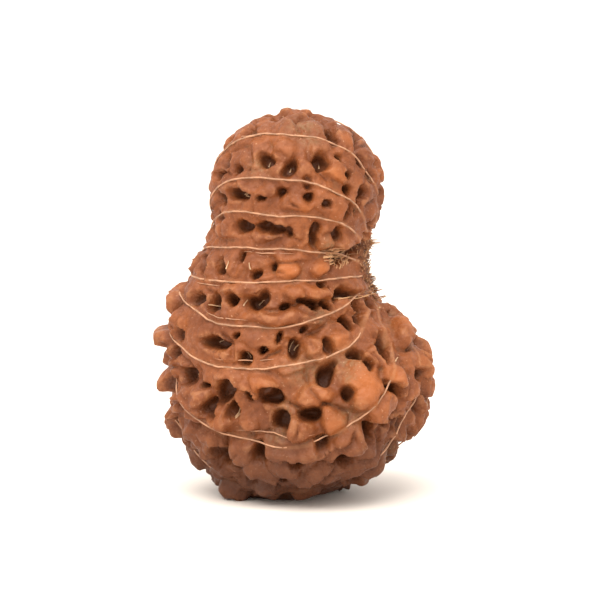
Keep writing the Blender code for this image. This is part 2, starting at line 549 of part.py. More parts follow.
def make_seed(collection):
    """The whole stone: a sphere cast onto the smooth body, evened out, raised, thinned and cut flat."""
    bpy.ops.mesh.primitive_ico_sphere_add(subdivisions=SPHERE_SUBDIVISIONS, radius=1.0)
    seed = bpy.context.active_object
    seed.name = SEED_NAME
    seed.data.name = SEED_NAME
    for holder in list(seed.users_collection):
        holder.objects.unlink(seed)
    collection.objects.link(seed)
    set_mesh_points(seed.data, cast_out(np.array(HEART), unit(mesh_points(seed.data))))
    with_modifier_applied(seed, "REMESH", {"mode": "VOXEL", "voxel_size": EVEN_FACE})
    with_modifier_applied(seed, "SMOOTH", {"factor": EVENING, "iterations": EVENING_ROUNDS})
    smooth = onto_body(mesh_points(seed.data))
    raised = smooth + body_normals(smooth) * relief(smooth, *all_marks())[:, None]
    set_mesh_points(seed.data, raised)
    with_modifier_applied(seed, "SMOOTH", {"factor": EVENING, "iterations": SOFTENING_ROUNDS})
    with_modifier_applied(seed, "TRIANGULATE", {})
    share = TRIANGLES / len(seed.data.polygons)
    with_modifier_applied(seed, "DECIMATE", {"ratio": share})
    cut_foot(seed.data, foot_level())
    points = mesh_points(seed.data)
    middle = (points.min(axis=0) + points.max(axis=0)) / 2
    points = points - (middle[0], middle[1], points[:, 2].min())
    set_mesh_points(seed.data, points)
    seed.data.transform(Matrix.Scale(MM, 4))
    seed.data.shade_smooth()
    seed.data.materials.append(warm_brown())
    return seed


def clear_scene():
    """Removes whatever the scene holds."""
    for thing in list(bpy.data.objects):
        bpy.data.objects.remove(thing)


clear_scene()
stone_collection = bpy.data.collections.new(SEED_NAME)
bpy.context.scene.collection.children.link(stone_collection)
make_seed(stone_collection)
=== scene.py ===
"""The looks of a rudraksha seed: its finished stone, suture threads and fibres, on a pale floor.

The stone repeats the CAD part's shape on a finer mesh. Lengths are in millimetres until a mesh is made.
"""

import math

import bmesh
import bpy
import numpy as np
from mathutils import Matrix, Vector, noise


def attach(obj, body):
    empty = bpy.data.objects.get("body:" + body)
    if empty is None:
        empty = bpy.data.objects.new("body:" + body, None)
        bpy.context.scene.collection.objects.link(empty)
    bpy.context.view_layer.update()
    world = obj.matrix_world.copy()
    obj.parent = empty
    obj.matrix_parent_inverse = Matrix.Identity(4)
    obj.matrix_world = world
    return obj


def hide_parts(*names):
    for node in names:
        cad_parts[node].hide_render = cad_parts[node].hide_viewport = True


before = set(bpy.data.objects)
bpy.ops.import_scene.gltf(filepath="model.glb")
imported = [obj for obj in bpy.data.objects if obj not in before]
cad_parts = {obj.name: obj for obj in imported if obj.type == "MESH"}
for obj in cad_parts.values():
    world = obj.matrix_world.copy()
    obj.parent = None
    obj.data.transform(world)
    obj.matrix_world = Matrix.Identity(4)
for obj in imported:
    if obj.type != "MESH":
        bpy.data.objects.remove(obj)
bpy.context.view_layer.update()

MM = 0.001

# Driving dimensions: each lobe's centre, radii and tilt in degrees about the depth axis, which blend
# into the smooth body under the warts
UPPER_LOBE = ((0.0, 0.0, 25.6), (6.6, 6.0, 6.1), -5)
SHOULDER = ((-2.3, 0.0, 12.9), (7.7, 7.4, 10.5), -14)
LOWER_LOBE = ((2.3, 0.0, 7.5), (9.2, 9.0, 5.8), 35)
LOBES = (UPPER_LOBE, SHOULDER, LOWER_LOBE)
LOBE_BLEND = 1.6
HEART = (-0.8, 0.0, 16.6)
LARGEST_REACH = 26.0
HALVINGS = 30
SLOPE_STEP = 0.01
STEPS_ONTO_BODY = 6

# The poles that the sutures run between
STALK_POLE = (6.6, 1.0, 18.6)
TIP_POLE = (-7.6, 5.5, 18.6)

# Each suture's angle in degrees from the top, over the front: near the tip, midway and near the stalk
SUTURES = (
    (22, 30, 23), (38, 46, 42), (47, 57, 52), (67, 72, 68), (91, 89, 87),
    (103, 107, 106), (122, 120, 123), (137, 138, 137), (152, 153, 154), (170, 170, 170),
    (-172, -172, -172), (-153, -154, -153), (-134, -136, -135), (-117, -115, -116), (-97, -98, -97),
    (-79, -77, -78), (-60, -59, -60), (-41, -43, -42), (-22, -21, -22), (1, 4, 1),
)
FARTHEST_SHARE = 1.2
SUTURE_GROOVE = 0.36
SUTURE_DIP = 0.6
FULL_GROOVE_FROM_AXIS = 8.0
LEAST_GROOVE = 0.3
SUTURE_RAISE = 0.14
SUTURE_HALF_WIDTH = 0.2
SUTURE_SWAY = 0.16
SUTURE_SWAY_LENGTH = 2.6

# Relief: the lower lobe is coarse and the upper lobe fine, with the change at the waist
COARSE_RELIEF = 1.0
FINE_RELIEF = 0.5
COARSE_BELOW = 14.5
FINE_ABOVE = 22.0
BAND_SWELL = 0.12
LUMP_HEIGHT = 0.28
LUMP_LENGTH = 2.3
GRAIN_HEIGHT = 0.05
GRAIN_LENGTH = 0.7
SWAY_NOISE, LUMP_NOISE, GRAIN_NOISE = 3.0, 5.0, 9.0
EDGE_NOISE, BED_NOISE, FURROW_NOISE = 21.0, 31.0, 41.0
FURROW_DEPTH = 0.5
FURROW_LENGTH = 3.1
FURROW_WIDTH = 0.13
KNOB_RAISE = 0.85
KNOB_CROWN = 0.35
UPPER_BROW, LOWER_BROW = 0.55, 0.76
UPPER_FOOT, LOWER_FOOT = 1.3, 1.2
KNOB_TILT = 0.1
WELL_DEPTH = 1.75
WELL_SPREAD = 1.2
SHALLOWEST_WELL = 0.4
FULL_DEPTH_HALF_WIDTH = 0.6
WELL_RIM = 1.2
WELL_FLOOR = 0.62
FINE_WELLS = 0.8

# Uneven edges: how far the points stray, over what length, and the shift of the noise
COARSE_STRAY = (0.45, 1.5, 0.0)
FINE_STRAY = (0.13, 0.75, 71.0)
STRAY_NOISES = (17.0, 51.0, 87.0)

# The front is seen from a little above, and its marks are placed as seen: across and up
SIGHT_ELEVATION = 9
SIGHT_START = 30.0
SIGHT_STEPS = 241
LEAST_FACING = 0.6
LEAST_TANGENT = 0.2
MARK_LIMIT = 2.2

# Marks on the sides and the back, scattered by a rule
SCATTER_SEED = 11
SCATTER_TRIES = 6000
FRONT_LIMIT = 0.4
LARGE_WELLS = {"spacing": 2.6, "sizes": (0.35, 0.65), "longest": 1.8, "suture": 0.75, "shares": (0.8, 1.1)}
SMALL_WELLS = {"spacing": 1.6, "sizes": (0.2, 0.32), "longest": 1.5, "suture": 0.4, "shares": (0.7, 1.0)}
LARGE_KNOBS = {"spacing": 2.3, "sizes": (1.05, 1.45), "longest": 1.8, "suture": 0.75, "shares": (0.55, 0.85)}
SMALL_KNOBS = {"spacing": 1.4, "sizes": (0.55, 0.85), "longest": 1.6, "suture": 0.35, "shares": (0.4, 0.7)}
WELL_TO_KNOB = 0.75
PLAIN_BELOW = 2.8

# The stalk scar and the tip
SCAR_SIGHT = (5.4, 19.3)
SCAR_RADIUS = 2.7
SCAR_LIFT = 0.35
SCAR_ROUGHNESS = 0.5
SCAR_GRAIN = 0.55
SCAR_EDGE = 0.9
SCAR_EDGE_STRAY = 0.5
SCAR_EDGE_LENGTH = 1.5
TIP_RADIUS = 1.3
TIP_FLOOR_RADIUS = 0.25
TIP_DEPTH = 0.5

# The small flat spot that the stone stands on
FOOT_CENTRE = (-1.1, 0.0)
FOOT_RADIUS = 2.9
FOOT_FADE = 2.6
FOOT_CUT = 0.45

# Mesh
SPHERE_SUBDIVISIONS = 6
EVENING = 0.5
EVENING_ROUNDS = 12
TINY = 1e-9

# Pits of the front: across, up, half width, half height, lean of the top to the right in degrees
FRONT_WELLS = (
    # Crown, down to the second suture
    (-5.6, 27.5, 0.3, 0.4, 0), (-6.1, 26.4, 0.3, 0.3, 0), (-4.8, 26.6, 0.3, 0.4, 0),
    (-2.5, 27.5, 0.5, 0.5, 0), (-0.6, 26.9, 0.5, 0.8, 20), (2.8, 29.3, 0.4, 0.6, 0),
    (4.6, 29.3, 0.3, 0.7, 0), (2.0, 27.2, 0.5, 0.7, -10), (3.4, 27.6, 0.3, 0.3, 0),
    (5.2, 27.3, 0.4, 0.3, 20), (4.0, 26.3, 0.4, 0.3, 0), (3.8, 25.0, 0.4, 0.5, 10),
    (5.4, 25.0, 0.3, 0.4, 0), (6.1, 22.8, 0.3, 0.3, 0), (4.0, 23.4, 0.3, 0.7, 25),
    (4.9, 23.8, 0.3, 0.7, 20), (0.7, 25.7, 0.3, 0.3, 0), (5.9, 26.2, 0.3, 0.4, 10),
    # From the second suture down to the fourth
    (-4.7, 24.7, 0.7, 0.4, -10), (-1.3, 24.8, 0.4, 0.4, 0), (0.8, 24.7, 0.4, 0.4, 0),
    (-2.9, 24.4, 0.3, 0.3, 0), (-6.0, 24.5, 0.3, 0.3, 0), (2.4, 24.0, 0.3, 0.3, 0),
    (-5.9, 22.8, 0.3, 0.3, 0), (-4.2, 22.2, 0.6, 0.5, 0), (-2.1, 22.0, 1.2, 0.5, 0),
    (1.4, 21.4, 0.35, 0.8, 0), (3.2, 21.5, 0.4, 0.4, 0), (4.4, 20.2, 1.3, 0.45, 8),
    (-0.4, 21.8, 0.3, 0.4, 0), (-6.5, 21.8, 0.3, 0.3, 0), (5.3, 21.3, 0.4, 0.3, 0),
    # Waist, from the fourth suture down to the sixth
    (-7.4, 19.0, 0.3, 0.6, -8), (-6.0, 19.0, 0.4, 0.5, 0), (-4.3, 19.6, 0.3, 0.4, 0),
    (-1.8, 18.8, 0.3, 0.3, 0), (3.1, 19.3, 0.4, 0.3, 0),
    (-3.2, 18.3, 0.4, 0.3, 0), (-8.0, 19.3, 0.3, 0.3, 0), (-8.1, 16.2, 0.5, 0.4, 0),
    (-6.8, 16.0, 0.4, 0.8, 0), (-5.3, 16.3, 0.5, 0.5, 10), (-3.4, 15.9, 0.6, 0.6, 0),
    (-2.8, 16.3, 0.4, 0.8, 25), (2.0, 17.4, 0.3, 0.3, 0), (1.0, 16.0, 0.9, 0.3, 15),
    (2.5, 15.6, 0.4, 0.3, 20), (4.4, 16.1, 0.9, 0.45, 25), (-1.0, 15.6, 0.4, 0.3, 0),
    (3.5, 16.6, 0.4, 0.3, 0), (-9.3, 18.3, 0.6, 0.45, 0), (-10.0, 15.2, 0.7, 0.5, 0),
    # From the sixth suture down to the seventh
    (-9.3, 13.6, 0.3, 0.5, 0), (-6.7, 12.8, 1.0, 0.6, 0), (-4.2, 11.5, 0.4, 0.5, -20),
    (-2.6, 12.2, 0.4, 0.4, 0), (-0.2, 12.4, 0.5, 0.7, 20), (0.7, 13.8, 0.3, 0.3, 0),
    (2.4, 12.5, 0.3, 0.8, 0), (3.9, 14.4, 0.6, 0.5, 0), (5.2, 14.6, 0.3, 0.5, 0),
    (5.8, 15.9, 0.3, 0.5, 20), (-1.4, 13.3, 0.3, 0.3, 0), (-4.7, 13.3, 0.3, 0.3, 0),
    # From the seventh suture down to the eighth
    (-8.9, 10.1, 0.6, 0.5, 0), (-5.8, 8.8, 0.7, 1.0, 35), (-6.9, 7.6, 0.5, 0.7, 35),
    (-5.0, 7.2, 0.4, 0.6, -20), (-2.0, 8.5, 1.0, 0.6, 15), (2.4, 10.1, 0.6, 0.9, 0),
    (4.7, 11.8, 0.6, 0.4, 15), (5.6, 11.0, 0.3, 0.4, 0), (4.0, 8.7, 0.4, 0.6, 10),
    (-1.2, 6.5, 0.6, 0.6, 20), (1.1, 7.0, 0.9, 0.6, 10), (6.9, 12.4, 0.55, 1.1, -8),
    (-3.8, 8.7, 0.3, 0.3, 0), (-9.6, 11.9, 0.3, 0.4, 0), (-7.4, 9.3, 0.3, 0.3, 0),
    (2.7, 11.1, 0.3, 0.3, 0),
    # Below the eighth suture
    (-9.1, 6.0, 0.5, 0.4, 25), (-5.7, 3.8, 0.8, 0.6, 0), (-2.9, 4.3, 0.4, 0.7, 15),
    (2.0, 5.0, 0.6, 0.5, 0), (3.6, 3.8, 0.9, 0.4, 25), (5.6, 5.6, 0.5, 0.7, 10),
    (-3.8, 1.7, 0.3, 0.3, 0), (0.2, 3.5, 0.5, 0.3, 0), (-7.5, 4.2, 0.4, 0.3, 0),
    (-1.1, 2.0, 0.4, 0.3, 0), (-4.7, 2.9, 0.4, 0.3, 0), (4.3, 2.3, 0.4, 0.3, 25),
    (7.4, 4.7, 0.4, 0.3, 30),
    # Right flank of the lower lobe
    (9.4, 13.5, 0.6, 0.3, -40), (9.8, 12.3, 0.3, 0.5, 0), (9.8, 10.3, 0.3, 0.4, 0),
    (7.6, 9.1, 0.7, 0.4, 30), (9.5, 7.7, 0.3, 0.5, 0), (7.9, 7.5, 0.3, 0.3, 0),
    (8.0, 6.1, 0.6, 0.4, 20), (8.6, 5.0, 0.5, 0.3, 40), (10.5, 11.3, 0.3, 0.3, 0),
    (7.0, 6.5, 0.4, 0.3, 20),
)

# Knobs and short ridges of the front: across, up, half width, half height, lean, share of full height
FRONT_KNOBS = (
    # Crown
    (-0.8, 31.7, 0.9, 0.6, 0, 0.9), (0.6, 31.4, 0.7, 0.6, 0, 0.7), (2.3, 31.0, 0.8, 0.5, 0, 0.3),
    (-3.0, 30.9, 1.0, 0.7, 0, 0.6), (1.5, 29.7, 1.0, 0.8, 0, 0.8), (3.7, 29.2, 0.8, 1.1, 0, 0.9),
    (-0.7, 29.9, 0.9, 0.7, 0, 0.7), (-1.1, 28.3, 0.9, 0.9, 0, 0.8), (1.5, 28.6, 1.2, 0.7, 0, 0.8),
    (-1.3, 26.6, 1.0, 0.7, 0, 0.7), (0.7, 26.7, 0.9, 1.0, 0, 0.8), (3.0, 26.6, 1.0, 1.0, 0, 0.9),
    (-3.6, 27.9, 0.8, 1.2, 0, 0.6), (6.8, 27.2, 0.7, 0.8, 0, 1.0), (7.0, 24.8, 0.6, 1.1, 0, 0.6),
    # From the second suture down to the fourth
    (0.1, 24.0, 1.3, 0.7, 0, 0.9), (2.7, 23.9, 1.6, 0.9, 35, 1.0), (-4.7, 25.3, 1.5, 0.5, 0, 0.6),
    (-2.5, 25.0, 0.9, 0.6, 0, 0.6), (-1.3, 22.7, 1.5, 0.7, 0, 0.8), (0.4, 21.9, 0.8, 1.3, 0, 0.8),
    (2.2, 21.6, 0.9, 1.2, 0, 0.8), (4.5, 21.1, 1.6, 0.6, 28, 1.0), (-2.4, 21.4, 1.5, 0.5, -10, 0.7),
    (-5.8, 22.2, 1.0, 0.8, 0, 0.7), (-6.9, 22.9, 0.6, 0.6, 0, 0.7), (-7.5, 21.3, 0.7, 0.7, 0, 1.0),
    # Waist
    (-0.7, 19.8, 1.6, 0.5, 0, 0.8), (-0.8, 18.5, 1.0, 0.8, 0, 1.0), (1.7, 18.8, 0.8, 0.8, 0, 1.0),
    (-3.2, 19.3, 1.2, 0.8, 0, 0.7), (-5.0, 19.1, 0.8, 1.0, 0, 0.7), (-6.8, 19.3, 0.5, 1.0, 0, 0.7),
    (-8.7, 19.4, 0.8, 0.7, 0, 1.2), (-4.2, 17.1, 1.9, 0.7, 0, 0.9), (1.0, 16.8, 2.2, 0.7, 0, 0.9),
    (-2.9, 18.2, 1.2, 0.5, 0, 0.5), (-10.2, 16.9, 1.0, 0.95, 0, 1.35), (-1.2, 14.7, 2.7, 0.6, 0, 0.8),
    (4.5, 17.7, 1.1, 0.9, 0, 0.5),
    # From the sixth suture down to the seventh
    (-10.9, 13.5, 1.0, 0.95, 0, 1.4), (3.3, 12.9, 1.0, 0.9, 0, 0.9), (1.5, 12.2, 0.9, 0.9, 0, 0.8),
    (-2.5, 12.9, 1.6, 0.8, 0, 0.3), (-9.9, 11.9, 0.7, 1.1, 0, 0.5), (-5.4, 12.0, 0.9, 0.8, 0, 0.5),
    # Lower lobe
    (8.2, 13.7, 0.7, 1.4, -15, 1.2), (-3.1, 9.4, 1.8, 1.0, 5, 1.0), (-5.2, 10.1, 1.3, 0.9, 0, 0.7),
    (5.3, 9.1, 1.6, 2.2, -25, 1.1), (1.5, 8.5, 1.6, 0.8, 0, 0.8), (0.3, 6.0, 1.1, 1.1, 0, 1.0),
    (2.9, 6.5, 1.2, 1.1, 0, 1.0), (7.6, 10.2, 1.0, 0.9, 0, 1.0), (6.8, 7.8, 1.3, 1.0, -30, 0.9),
    (-6.1, 6.8, 1.3, 1.3, 30, 1.1), (-8.2, 8.2, 1.4, 1.4, 30, 1.0), (-7.3, 5.0, 1.6, 1.0, 0, 0.9),
    (-4.2, 4.2, 1.1, 1.1, 0, 0.9), (-1.6, 4.3, 1.0, 0.8, 0, 0.7), (0.6, 4.4, 3.9, 0.75, 0, 0.9),
    (4.2, 5.3, 1.2, 1.3, 0, 0.9), (-3.7, 6.6, 0.9, 0.8, 0, 0.6), (5.1, 3.1, 1.8, 1.4, -35, 1.0),
    (1.6, 2.7, 4.4, 0.9, 3, 0.75), (9.4, 6.5, 1.2, 0.9, -25, 0.9), (10.1, 10.9, 0.9, 0.9, 0, 0.7),
    (-0.4, 11.0, 1.4, 0.6, 0, 0.5), (6.5, 11.6, 0.9, 0.8, 0, 0.6), (9.1, 9.1, 0.9, 0.8, 0, 0.6),
    (-10.7, 6.2, 0.9, 0.8, 0, 1.3), (-11.0, 9.6, 0.9, 1.0, 0, 1.1), (-8.2, 3.9, 0.8, 0.7, 0, 0.6),
    (-4.9, 1.1, 1.0, 0.6, 0, 1.0), (-2.4, 0.9, 0.9, 0.4, 0, 0.6), (0.6, 0.8, 1.2, 0.4, 0, 0.5),
    (7.9, 15.8, 1.1, 0.7, 30, 0.8), (10.9, 12.3, 0.8, 0.8, 0, 0.7), (11.0, 9.1, 0.7, 0.8, 0, 0.5),
    (-6.5, 3.0, 1.1, 0.7, 20, 0.6), (-2.9, 2.7, 1.7, 0.7, 12, 0.9), (7.4, 3.4, 1.2, 0.9, -40, 0.7),
)

# The finished stone's mesh
FINE_FACE = 0.165
LEAN_DOWN = 0.16
SMOOTH_HEIGHT_ROUNDS = 40
BLOCK_LENGTH = 1.7
CREASE_FLOOR, CREASE_RIM, CREASE_DEPTH = 0.02, 0.2, 0.16
CREASE_PATCH, CREASE_NOISE, CREASE_PATCH_EDGE = 3.0, 83.0, 0.35
CREASE_FREE_HOLLOW = (0.2, 0.9)
FINE_LUMP, FINE_LUMP_LENGTH = 0.1, 0.9
FINE_GRAIN, FINE_GRAIN_LENGTH, FINE_NOISE = 0.05, 0.4, 91.0
NODE_NAME = "rudraksha_seed"

# Warm orange spots of the front: across, up, radius, strength
WARM_SPOTS = (
    (0.8, 31.2, 0.7, 0.4), (-0.6, 28.2, 0.6, 0.35), (3.8, 28.9, 0.8, 0.5), (2.9, 26.2, 0.8, 0.7),
    (0.6, 23.7, 0.7, 0.6), (3.0, 23.1, 1.0, 0.6), (-0.6, 18.6, 0.9, 1.0), (1.7, 18.7, 0.6, 1.0),
    (0.8, 16.9, 1.1, 0.4), (3.3, 12.8, 0.7, 0.7), (8.1, 13.7, 0.9, 0.6), (-2.8, 9.4, 0.9, 0.7),
    (5.1, 9.4, 1.4, 1.0), (7.4, 10.2, 0.8, 1.0), (3.1, 6.2, 0.9, 0.9), (2.7, 8.3, 0.8, 0.5),
    (-6.2, 7.0, 1.0, 0.4), (5.2, 2.2, 1.1, 0.8), (3.6, 3.6, 1.0, 0.5), (10.6, 9.4, 0.8, 0.5),
    (10.6, 12.4, 0.8, 0.4), (8.9, 6.2, 0.9, 0.5), (-2.6, 2.3, 0.9, 0.4), (-7.2, 4.8, 0.9, 0.3),
)
WARM_SHARE_BEHIND = 0.3
WARM_SEED = 5

# Dusty places of the front: across, up, radius
DUSTY_SPOTS = (
    (0.4, 30.0, 1.2), (1.0, 29.0, 0.8), (-1.5, 5.4, 0.9), (4.2, 7.0, 0.9), (1.6, 15.0, 0.9), (0.6, 10.6, 1.4),
    (3.9, 11.0, 1.1), (-0.8, 7.4, 0.8), (4.0, 9.8, 0.6), (-3.0, 26.9, 0.9), (7.2, 4.3, 1.0), (2.4, 20.9, 0.7),
)

# Suture threads, and the thinner strands beside them
THREAD_RADIUS = 0.072
THREAD_SWELL, THREAD_SWELL_LENGTH, THREAD_SWELL_NOISE = 0.25, 0.8, 11.0
THREAD_SIDES = 6
THREAD_STEP = 0.16
THREAD_LIFT = 0.03
THREAD_WAVER = 0.4
THREAD_FADE = 0.22
FADE_NOISE, FADE_LENGTH, FADE_FROM = 57.0, 4.5, 0.35
BRIDGE, BRIDGE_TO_HIGHEST = 5, 0.5
THREAD_FOOT_SINK = 0.8
FOOT_SINK_START, FOOT_SINK_FULL, THREAD_END = 3.6, 2.6, 2.0
CLEAR_OF_TIP = 1.1
CLEAR_OF_SCAR = 1.9
FARTHEST_FROM_AXIS = 24.0
LAST_SHARE = 1.6
THREAD_SEED = 23
STRAND_ANGLE, STRAND_SINK, STRAND_THINNESS = 2.2, 0.02, 0.7
STRAND_STARTS, STRAND_SHARES, STRAND_TIP = (0.0, 0.6), (0.15, 0.35), 0.1

# Places of the front where the threads are hidden: across, up, radius
HIDDEN_THREADS = (
    (0.6, 5.0, 1.5), (2.6, 5.4, 1.2), (-7.3, 17.7, 0.5), (9.5, 11.0, 1.5), (9.0, 14.0, 1.2), (5.8, 24.5, 1.2),
    (6.2, 27.0, 1.2), (8.3, 8.8, 0.7), (3.2, 29.0, 0.7), (8.8, 6.2, 1.0), (7.6, 4.0, 1.0),
)

# Fibres of the front's pits: across, up, length, lean to the right from upright in degrees
PIT_FIBRES = (
    (-4.7, 24.8, 0.9, 75), (-4.6, 24.5, 0.7, 100), (-2.6, 27.5, 0.5, 20), (-0.6, 26.9, 0.6, 10),
    (-6.8, 15.9, 1.1, 95), (-6.7, 13.0, 1.0, 70), (-4.1, 11.7, 0.6, -30), (-2.6, 12.2, 0.4, 30),
    (-0.3, 12.5, 1.0, 28), (0.2, 12.6, 1.1, 35), (-8.9, 10.1, 0.6, 60), (-5.0, 7.3, 1.1, -5),
    (-4.8, 7.0, 0.9, 15), (-9.2, 6.1, 0.8, 45), (-9.0, 5.8, 0.8, -30), (9.9, 7.9, 0.9, 10),
    (7.3, 7.1, 0.5, 40), (7.9, 11.3, 0.8, 35), (-4.2, 16.0, 0.6, 20), (-3.1, 16.2, 0.7, 60),
    (2.0, 27.2, 0.5, 5), (-5.2, 18.9, 0.7, 20), (-3.6, 18.9, 0.6, -10), (6.4, 15.4, 0.6, 30),
)
PIT_FIBRE_SHARE_BEHIND, PIT_FIBRE_SPAN = 0.4, 2.2
PIT_FIBRE_DEPTH, PIT_FIBRE_LEVELS, PIT_FIBRE_FOLLOW = 0.35, (-0.2, 0.3), 0.5
PIT_FIBRE_RADIUS, PIT_FIBRE_ENDS = 0.06, (1.1, 0.5)
FIBRE_POINTS, FIBRE_BOW = 7, 0.25
TUFT_SEED = 8

# Torn fibres in front of the scar: across, up, half width, half height, number, lean, length, rise
TORN_CLUSTERS = (
    (3.3, 20.2, 1.1, 0.3, 34, 88, 1.0, 0.15), (3.1, 19.5, 0.9, 0.35, 24, 82, 0.7, 0.25),
    (3.4, 19.4, 0.8, 0.35, 16, 5, 0.6, 0.3), (6.0, 16.9, 0.8, 0.5, 26, 60, 0.8, 0.4),
    (5.9, 18.3, 0.4, 1.0, 22, 20, 0.7, 0.35), (4.4, 16.3, 0.7, 0.4, 10, 75, 0.7, 0.2),
    (6.4, 21.0, 0.1, 0.3, 8, 60, 0.4, 1.0), (6.9, 17.3, 0.1, 0.15, 7, 60, 0.4, 1.1),
    (7.0, 16.6, 0.1, 0.15, 7, 90, 0.4, 1.1), (5.1, 20.1, 0.9, 0.3, 10, 95, 1.0, 0.2),
)
TORN_TURN, TORN_LENGTHS, TORN_RISES, TORN_TINTS = 0.45, (0.6, 1.2), (0.3, 1.0), (0.2, 0.95)
TORN_TO_HIGHEST, TORN_RISE_ENDS = 0.6, (-0.2, 1.0)
TORN_RADIUS, TORN_ENDS = 0.055, (1.2, 0.4)

# The brush of broken fibres in the scar, each a curve about one unit long before it is sized
BRUSH_REACH = 0.93
BRUSH_DENSITY = 24.0
BRUSH_LENGTH = (0.15, 0.42)
BRUSH_RADIUS, BRUSH_TAPER = 0.055, 0.25
BRUSH_CURVE = {"Start": (0.0, 0.0, -0.15), "Middle": (0.2, 0.0, 0.4), "End": (0.85, 0.0, 0.5)}
BRUSH_STEPS, BRUSH_SIDES = 5, 4
BRUSH_TILT = 1.15
BRUSH_SEED = 3

# The skin's colours, roughness and bumps. Speckles: length in millimetres and detail. Bumps: also depth
SPECKLES = {
    "patches": (3.2, 3.0), "grain": (0.5, 4.0), "wear": (0.6, 4.0), "grit": (1.3, 4.0), "dust": (0.35, 3.0),
    "specks": (0.2, 2.0),
}
SPECKLE_ROUGHNESS = 0.55
PLAIN_SKIN, LIGHT_SKIN = (0.155, 0.041, 0.01), (0.245, 0.071, 0.018)
PATCH_EDGES, ROUGH_EDGES = (0.35, 0.7), (0.3, 0.7)
DUST_EDGES, GRIT_EDGES, CREASE_DUST = (0.02, 0.25), (0.42, 0.62), 0.6

# Layers over the plain skin, in order: what each follows, with where it starts and is full; strength; colour
SKIN_LAYERS = {
    "dark grain": ((("grain", 0.38, 0.72),), 0.5, (0.115, 0.03, 0.008)),
    # Painted highlight: the raised tops of the knobs made lighter, as where the light falls on them
    "painted highlight on tops": ((("height", 0.35, 1.1), ("sunk", 0.05, -0.2)), 0.35, (0.285, 0.086, 0.026)),
    # Pale convex edges: partly real wear and partly a painted highlight along the ridges, broken up by noise
    "worn edges and painted highlight": ((("sunk", -0.14, -0.42), ("wear", 0.4, 0.62)), 0.5, (0.35, 0.14, 0.055)),
    "orange knobs": ((("warmth",), ("height", 0.0, 0.6)), 0.7, (0.37, 0.105, 0.022)),
    "dust": ((("dusty",), ("dust", 0.3, 0.65)), 0.5, (0.2, 0.125, 0.06)),
    # Painted shade: the sunk grooves and creases darkened, as where less light reaches
    "painted shade in grooves": ((("sunk", 0.08, 0.55),), 0.45, (0.07, 0.02, 0.006)),
    "pale specks": ((("specks", 0.66, 0.74),), 0.5, (0.5, 0.27, 0.15)),
    # Painted shade: the pits darkened by their depth, as where the shade falls inside them
    "painted shade in pits": ((("hollow", 0.45, 1.3),), 0.85, (0.08, 0.022, 0.006)),
    "pale sutures": ((("beside_suture", 0.16, 0.04),), 0.35, (0.38, 0.17, 0.075)),
    # Painted shade: the skin darker towards the bottom, for the shaded underside near the floor
    "painted shade towards the foot": ((("up", 9.5 * MM, 1.2 * MM),), 0.78, (0.05, 0.014, 0.004)),
    "dark scar": ((("from_scar", SCAR_RADIUS, SCAR_RADIUS - SCAR_EDGE),), 0.8, (0.1, 0.032, 0.009)),
}

LEAST_ROUGHNESS, ROUGHNESS_RANGE, SKIN_SHINE = 0.42, 0.2, 0.28
BUMPS = ((0.2, 3.0, 0.045), (0.55, 4.0, 0.18))

# Colours of the fibres and the floor, whose size is in metres
THREAD_COLOUR, PIT_FIBRE_COLOUR = (0.46, 0.23, 0.125), (0.62, 0.38, 0.21)
DARKER_SHARE, PALE_SPECKLE, PALE_EDGES = 0.6, (0.7, 3.0), (0.35, 0.65)
TORN_DARK, TORN_BROWN, TORN_PALE = (0.09, 0.03, 0.01), (0.28, 0.115, 0.042), (0.5, 0.27, 0.125)
TORN_BROWN_EDGES, TORN_PALE_EDGES = (0.1, 0.5), (0.5, 0.9)
FIBRE_ROUGHNESS, TORN_ROUGHNESS, FLOOR_ROUGHNESS = 0.6, 0.55, 0.7
FLOOR_COLOURS, FLOOR_SPECKLE, FLOOR_SIZE = ((0.84, 0.775, 0.71), (0.86, 0.795, 0.73)), (8.0, 2.0), 4.0

# Places of the colour sockets on a Mix node
MIX_BELOW, MIX_ABOVE, MIX_RESULT = 6, 7, 2

# Light and camera. The panel's size and place and the nearest seen distance are in metres
ROOM_LIGHT, ROOM_COLOUR = 1.55, (1.0, 0.975, 0.94, 1.0)
PANEL_POWER, PANEL_SIZE, PANEL_COLOUR = 1.45, 0.3, (1.0, 0.97, 0.93)
PANEL_PLACE, PANEL_AIM = (-0.04, -0.15, 0.3), (0.0, 0.0, 0.014)
PHOTO_CENTRE = (0.2455, 16.2)
EYE_DISTANCE = 600.0
SENSOR = 36.0
VIEW_WIDTH = 49.1
NEAREST_SEEN = 0.01


def unit(vectors):
    """The vectors at length 1, whether one or many."""
    return vectors / (np.linalg.norm(vectors, axis=-1, keepdims=True) + TINY)


def smooth_step(low, high, values):
    """0 below low, 1 above high, and an even curve between."""
    share = np.clip((values - low) / (high - low), 0.0, 1.0)
    return share * share * (3.0 - 2.0 * share)


def body_distance(points):
    """About how far each point lies outside the smooth body, and negative inside it."""
    found = []
    for centre, radii, tilt in LOBES:
        away = points - np.array(centre)
        cos_tilt = math.cos(math.radians(tilt))
        sin_tilt = math.sin(math.radians(tilt))
        across = away[:, 0] * cos_tilt + away[:, 2] * sin_tilt
        up = away[:, 2] * cos_tilt - away[:, 0] * sin_tilt
        away = np.stack([across, away[:, 1], up], axis=1)
        reach = np.linalg.norm(away / radii, axis=1) + TINY
        slope = np.linalg.norm(away / np.square(radii), axis=1) + TINY
        found.append(reach * (reach - 1.0) / slope)
    found = np.array(found)
    nearest = found.min(axis=0)
    return nearest - LOBE_BLEND * np.log(np.exp((nearest - found) / LOBE_BLEND).sum(axis=0))


def body_normals(points):
    """The way out of the smooth body at each point, from its distance a little to each side."""
    slopes = []
    for axis in range(3):
        nudge = np.zeros(3)
        nudge[axis] = SLOPE_STEP
        slopes.append(body_distance(points + nudge) - body_distance(points - nudge))
    return unit(np.stack(slopes, axis=1))


def onto_body(points):
    """The points moved along the body's slope until they lie on it."""
    for _ in range(STEPS_ONTO_BODY):
        points = points - body_normals(points) * body_distance(points)[:, None]
    return points


